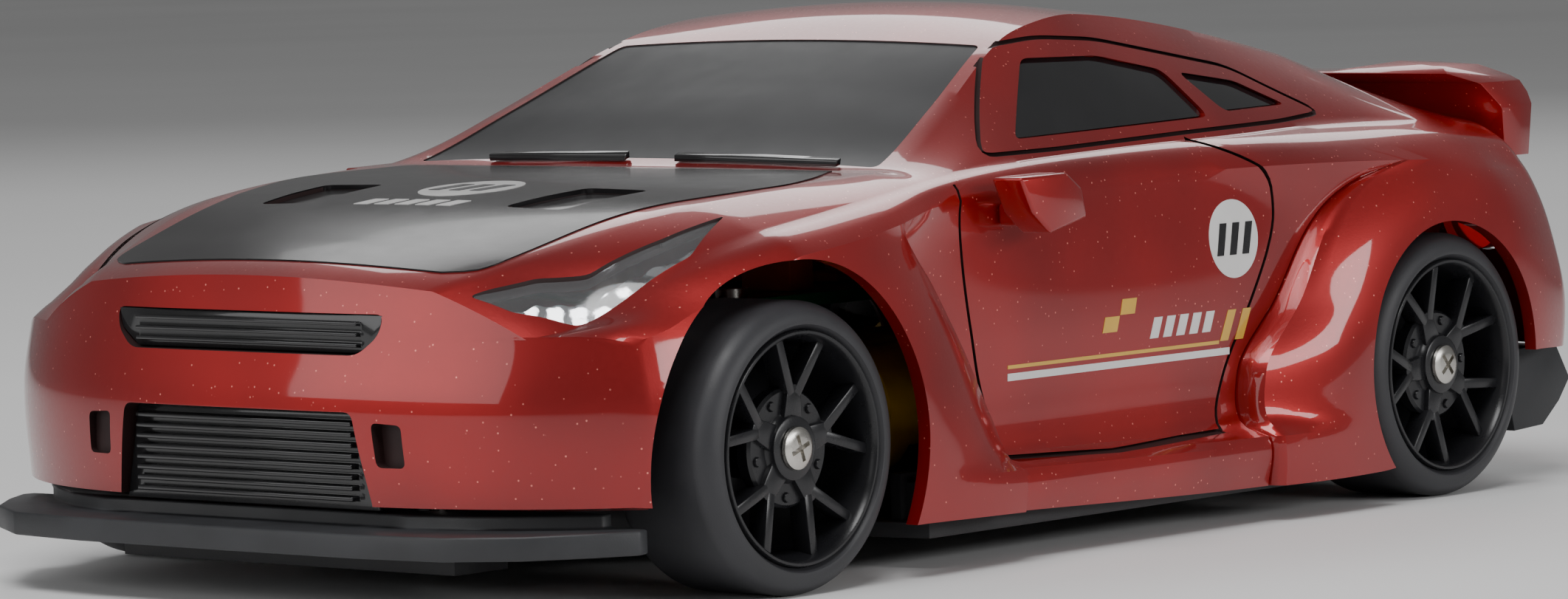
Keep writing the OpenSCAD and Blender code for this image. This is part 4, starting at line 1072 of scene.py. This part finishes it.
def tyre_profile():
    """Closed section of a tyre as (radius, x): a nearly flat tread with rounded shoulders."""
    steps = 8
    wall_r = TYRE_R - TYRE_ROUND
    inner_x = FACE_X - TYRE_W
    turns = [pi / 2 * i / steps for i in range(steps + 1)]
    out = [(TYRE_BORE, inner_x + 0.6), (wall_r, inner_x)]
    out += [(wall_r + TYRE_ROUND * sin(a), inner_x + TYRE_ROUND * (1 - cos(a))) for a in turns]
    out += [(TYRE_R, FACE_X - 8), (TYRE_R, FACE_X - 5)]
    out += [(wall_r + TYRE_ROUND * cos(a), FACE_X - TYRE_ROUND * (1 - sin(a))) for a in turns]
    return out + [(12.75, FACE_X - 0.05), (12.55, FACE_X - 0.35), (TYRE_BORE, FACE_X - 0.75)]


def spoke_bar(a, b, width_a, width_b, front_a, front_b, depth):
    """A tapering bar between two points of the wheel face; front is the height of its outer face."""
    d = Vector((b[0] - a[0], b[1] - a[1])).normalized()
    across = Vector((-d.y, d.x))
    ring = []
    for p, w, top in ((a, width_a, front_a), (b, width_b, front_b)):
        left = Vector(p) + across * w / 2
        right = Vector(p) - across * w / 2
        ring.append([(left.x, left.y, top), (right.x, right.y, top),
                     (right.x, right.y, top - depth), (left.x, left.y, top - depth)])
    points = ring[0] + ring[1]
    faces = [(0, 1, 2, 3), (7, 6, 5, 4), (0, 4, 5, 1), (1, 5, 6, 2), (2, 6, 7, 3), (3, 7, 4, 0)]
    return points, faces


def wheel_frame(piece, side, y):
    """Stands a wheel made flat, with its axis along Z, on its axle."""
    turn = Matrix(((0, 0, side, 0), (1, 0, 0, y * MM), (0, 1, 0, AXLE_Z * MM), (0, 0, 0, 1)))
    piece.data.transform(turn)
    face_outwards(piece)


def flat_lathe(name, profile, material, segments=96):
    """Turns a closed profile of (radius, x) about Z. Wheel parts are made flat like this, then stood up."""
    points, faces = [], []
    n = len(profile)
    for k in range(segments):
        a = 2 * pi * k / segments
        points += [(r * cos(a), r * sin(a), h) for r, h in profile]
        m = (k + 1) % segments
        faces += [(k * n + j, k * n + (j + 1) % n, m * n + (j + 1) % n, m * n + j) for j in range(n)
                  if profile[j][0] or profile[(j + 1) % n][0]]
    return mesh_object(name, points, faces, material, 35)


def tyre(name, side, y):
    piece = flat_lathe(name, tyre_profile(), TYRE, 128)
    wheel_frame(piece, side, y)
    soften(piece, 35)
    return piece


# Profiles of the rim's turned parts and the screw head, as (radius, x)
BARREL = [(12.2, 35.8), (12.2, 48.9), (12.05, 49.1), (11.8, 49.1), (11.62, 48.9),
          (11.5, 48.3), (11.3, 47.6), (11.1, 46.4), (11.05, 36.2), (11.2, 35.8)]
HUB = [(1.4, 38.6), (3.4, 38.6), (3.4, 45.3), (6.2, 45.3), (6.2, 46.6), (5.9, 46.9),
       (3.7, 46.9), (3.4, 47.2), (3.3, 47.8), (3.1, 47.9), (1.4, 47.9)]
DISH = [(3.3, 40.2), (11.1, 38.0), (11.1, 37.2), (3.3, 39.2)]
NUT = [(0, 45.8), (0.55, 45.8), (0.55, 47.0), (0.42, 47.2), (0, 47.2)]
SCREW_HEAD = [(0, 47.95), (2.25, 47.95), (2.3, 48.1), (2.2, 48.4), (1.8, 48.62), (1.2, 48.7), (0, 48.7)]
SPOKES = 5
SPOKE_FORK = radians(17)
SPOKE_DEPTH = 2.4
SPOKE_FACE = 47.5
HUB_END_R = 3.0
KNEE_R = 6.6
FORK_R = 5.4
LIP_R = 11.5
NUT_RING_R = 5.1
CROSS_REACH = 1.45
FRONT_TILT = 12
REAR_TILT = 40
FRONT_SCREW_TILT = 20


def rim(name, side, y, tilt):
    """A dish with a rolled lip, five forked spokes, five nut bumps and a hub."""
    parts = [flat_lathe("barrel", BARREL, RIM), flat_lathe("hub", HUB, RIM), flat_lathe("dish", DISH, RIM)]
    for i in range(SPOKES):
        a = radians(tilt) + 2 * pi * i / SPOKES
        root = (HUB_END_R * cos(a), HUB_END_R * sin(a))
        knee = (KNEE_R * cos(a), KNEE_R * sin(a))
        bars = [spoke_bar(root, knee, 2.9, 2.0, SPOKE_FACE, SPOKE_FACE, SPOKE_DEPTH)]
        for turn in (-1, 1):
            b = a + turn * SPOKE_FORK
            start = (FORK_R * cos(a + turn * 0.06), FORK_R * sin(a + turn * 0.06))
            end = (LIP_R * cos(b), LIP_R * sin(b))
            bars.append(spoke_bar(start, end, 1.25, 1.15, SPOKE_FACE, SPOKE_FACE + 0.5, SPOKE_DEPTH))
        for points, faces in bars:
            bar = mesh_object("bar", points, faces, RIM)
            bevel(bar, 0.22)
            parts.append(bar)
        b = a + pi / SPOKES
        nut = flat_lathe("nut", NUT, RIM, 24)
        nut.data.transform(Matrix.Translation((NUT_RING_R * cos(b) * MM, NUT_RING_R * sin(b) * MM, 0)))
        parts.append(nut)
    piece = join(name, parts)
    wheel_frame(piece, side, y)
    soften(piece, 40)
    return piece


def wheel_screw(name, side, y, tilt):
    """Pan head with a cross recess."""
    head = flat_lathe("head", SCREW_HEAD, STEEL, 64)
    cutters = []
    for k in range(2):
        a = radians(tilt) + k * pi / 2
        end = (CROSS_REACH * cos(a), CROSS_REACH * sin(a))
        points, faces = spoke_bar((-end[0], -end[1]), end, 0.5, 0.5, 49, 49, 0.85)
        cutters.append(mesh_object("slot", points, faces, STEEL))
    boolean(head, cutters)
    head.name = name
    wheel_frame(head, side, y)
    soften(head, 35)
    return head


def wheels():
    """Tyres, rims and centre screws: the front ones turn on their own, the rear ones together."""
    for word, side in (("left", 1), ("right", -1)):
        body = f"front_{word}_wheel"
        piece = tyre(f"front_{word}_tyre_moulded", side, FRONT_Y)
        finish_piece(piece, body, [f"front_{word}_tyre"])
        piece = rim(f"front_{word}_rim_moulded", side, FRONT_Y, FRONT_TILT)
        finish_piece(piece, body, [f"front_{word}_rim"])
        piece = wheel_screw(f"front_{word}_screw_head", side, FRONT_Y, FRONT_SCREW_TILT)
        finish_piece(piece, f"{word}_knuckle", [f"front_{word}_wheel_screw"])
    pair = [tyre("tyre", side, REAR_Y) for side in (1, -1)]
    finish_piece(join("rear_tyres_moulded", pair), "rear_axle", ["rear_tyres"])
    pair = [rim("rim", side, REAR_Y, REAR_TILT) for side in (1, -1)]
    finish_piece(join("rear_rims_moulded", pair), "rear_axle", ["rear_rims"])
    pair = [wheel_screw("screw", side, REAR_Y, REAR_TILT) for side in (1, -1)]
    finish_piece(join("rear_screw_heads", pair), "rear_axle", ["rear_wheel_screws"])


wheels()

# ---------- pieces that keep their CAD form, with rounded edges ----------
REFINED = {
    "front_splitter": (MATTE_BLACK, 0.35), "rear_diffuser": (MATTE_BLACK, 0.25), "left_mirror": (RED, 1.1),
    "right_mirror": (RED, 1.1), "upper_grille": (GLOSS_BLACK, 0.1), "lower_grille": (GLOSS_BLACK, 0.12),
    "bonnet_vents": (PANEL_BLACK, 0.1), "wipers": (GLOSS_BLACK, 0.1), "chassis_tub": (CHASSIS, 0.2),
    "lower_arms": (NYLON, 0.25), "upper_arms": (NYLON, 0.25), "servo_case": (SERVO_BLUE, 0.25),
    "gearbox_housing": (NYLON, 0.2), "gearbox_cover": (CHASSIS, 0.2), "circuit_board": (BOARD, 0.12),
    "board_parts": (PART_ORANGE, 0.15), "power_switch": (NYLON, 0.2), "battery_door": (CHASSIS, 0.2),
    "motor_endbell": (CHASSIS, 0.2), "rear_wing": (WING_RED, 0.4),
}
KEPT = {
    "battery": WRAP, "motor_can": CAN_STEEL, "motor_shaft": STEEL, "pinion_gear": BRASS,
    "spur_gear": ACETAL, "rear_axle": STEEL, "rear_bearings": STEEL, "rear_hexes": BRASS,
    "board_screws": STEEL, "body_screws": STEEL, "switch_knob": CHASSIS, "motor_wires": INSULATION,
    "battery_wires": INSULATION, "kingpins": STEEL, "left_knuckle": NYLON, "right_knuckle": NYLON,
    "steering_link": NYLON, "servo_horn": ACETAL, "front_left_bearings": STEEL,
    "front_right_bearings": STEEL, "headlight_leds": LED, "tail_lamps": RED_LENS,
}
for node, (material, width) in REFINED.items():
    refined(node, material, width)
for node, material in KEPT.items():
    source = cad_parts[node]
    for place in source.material_slots:
        place.material = material
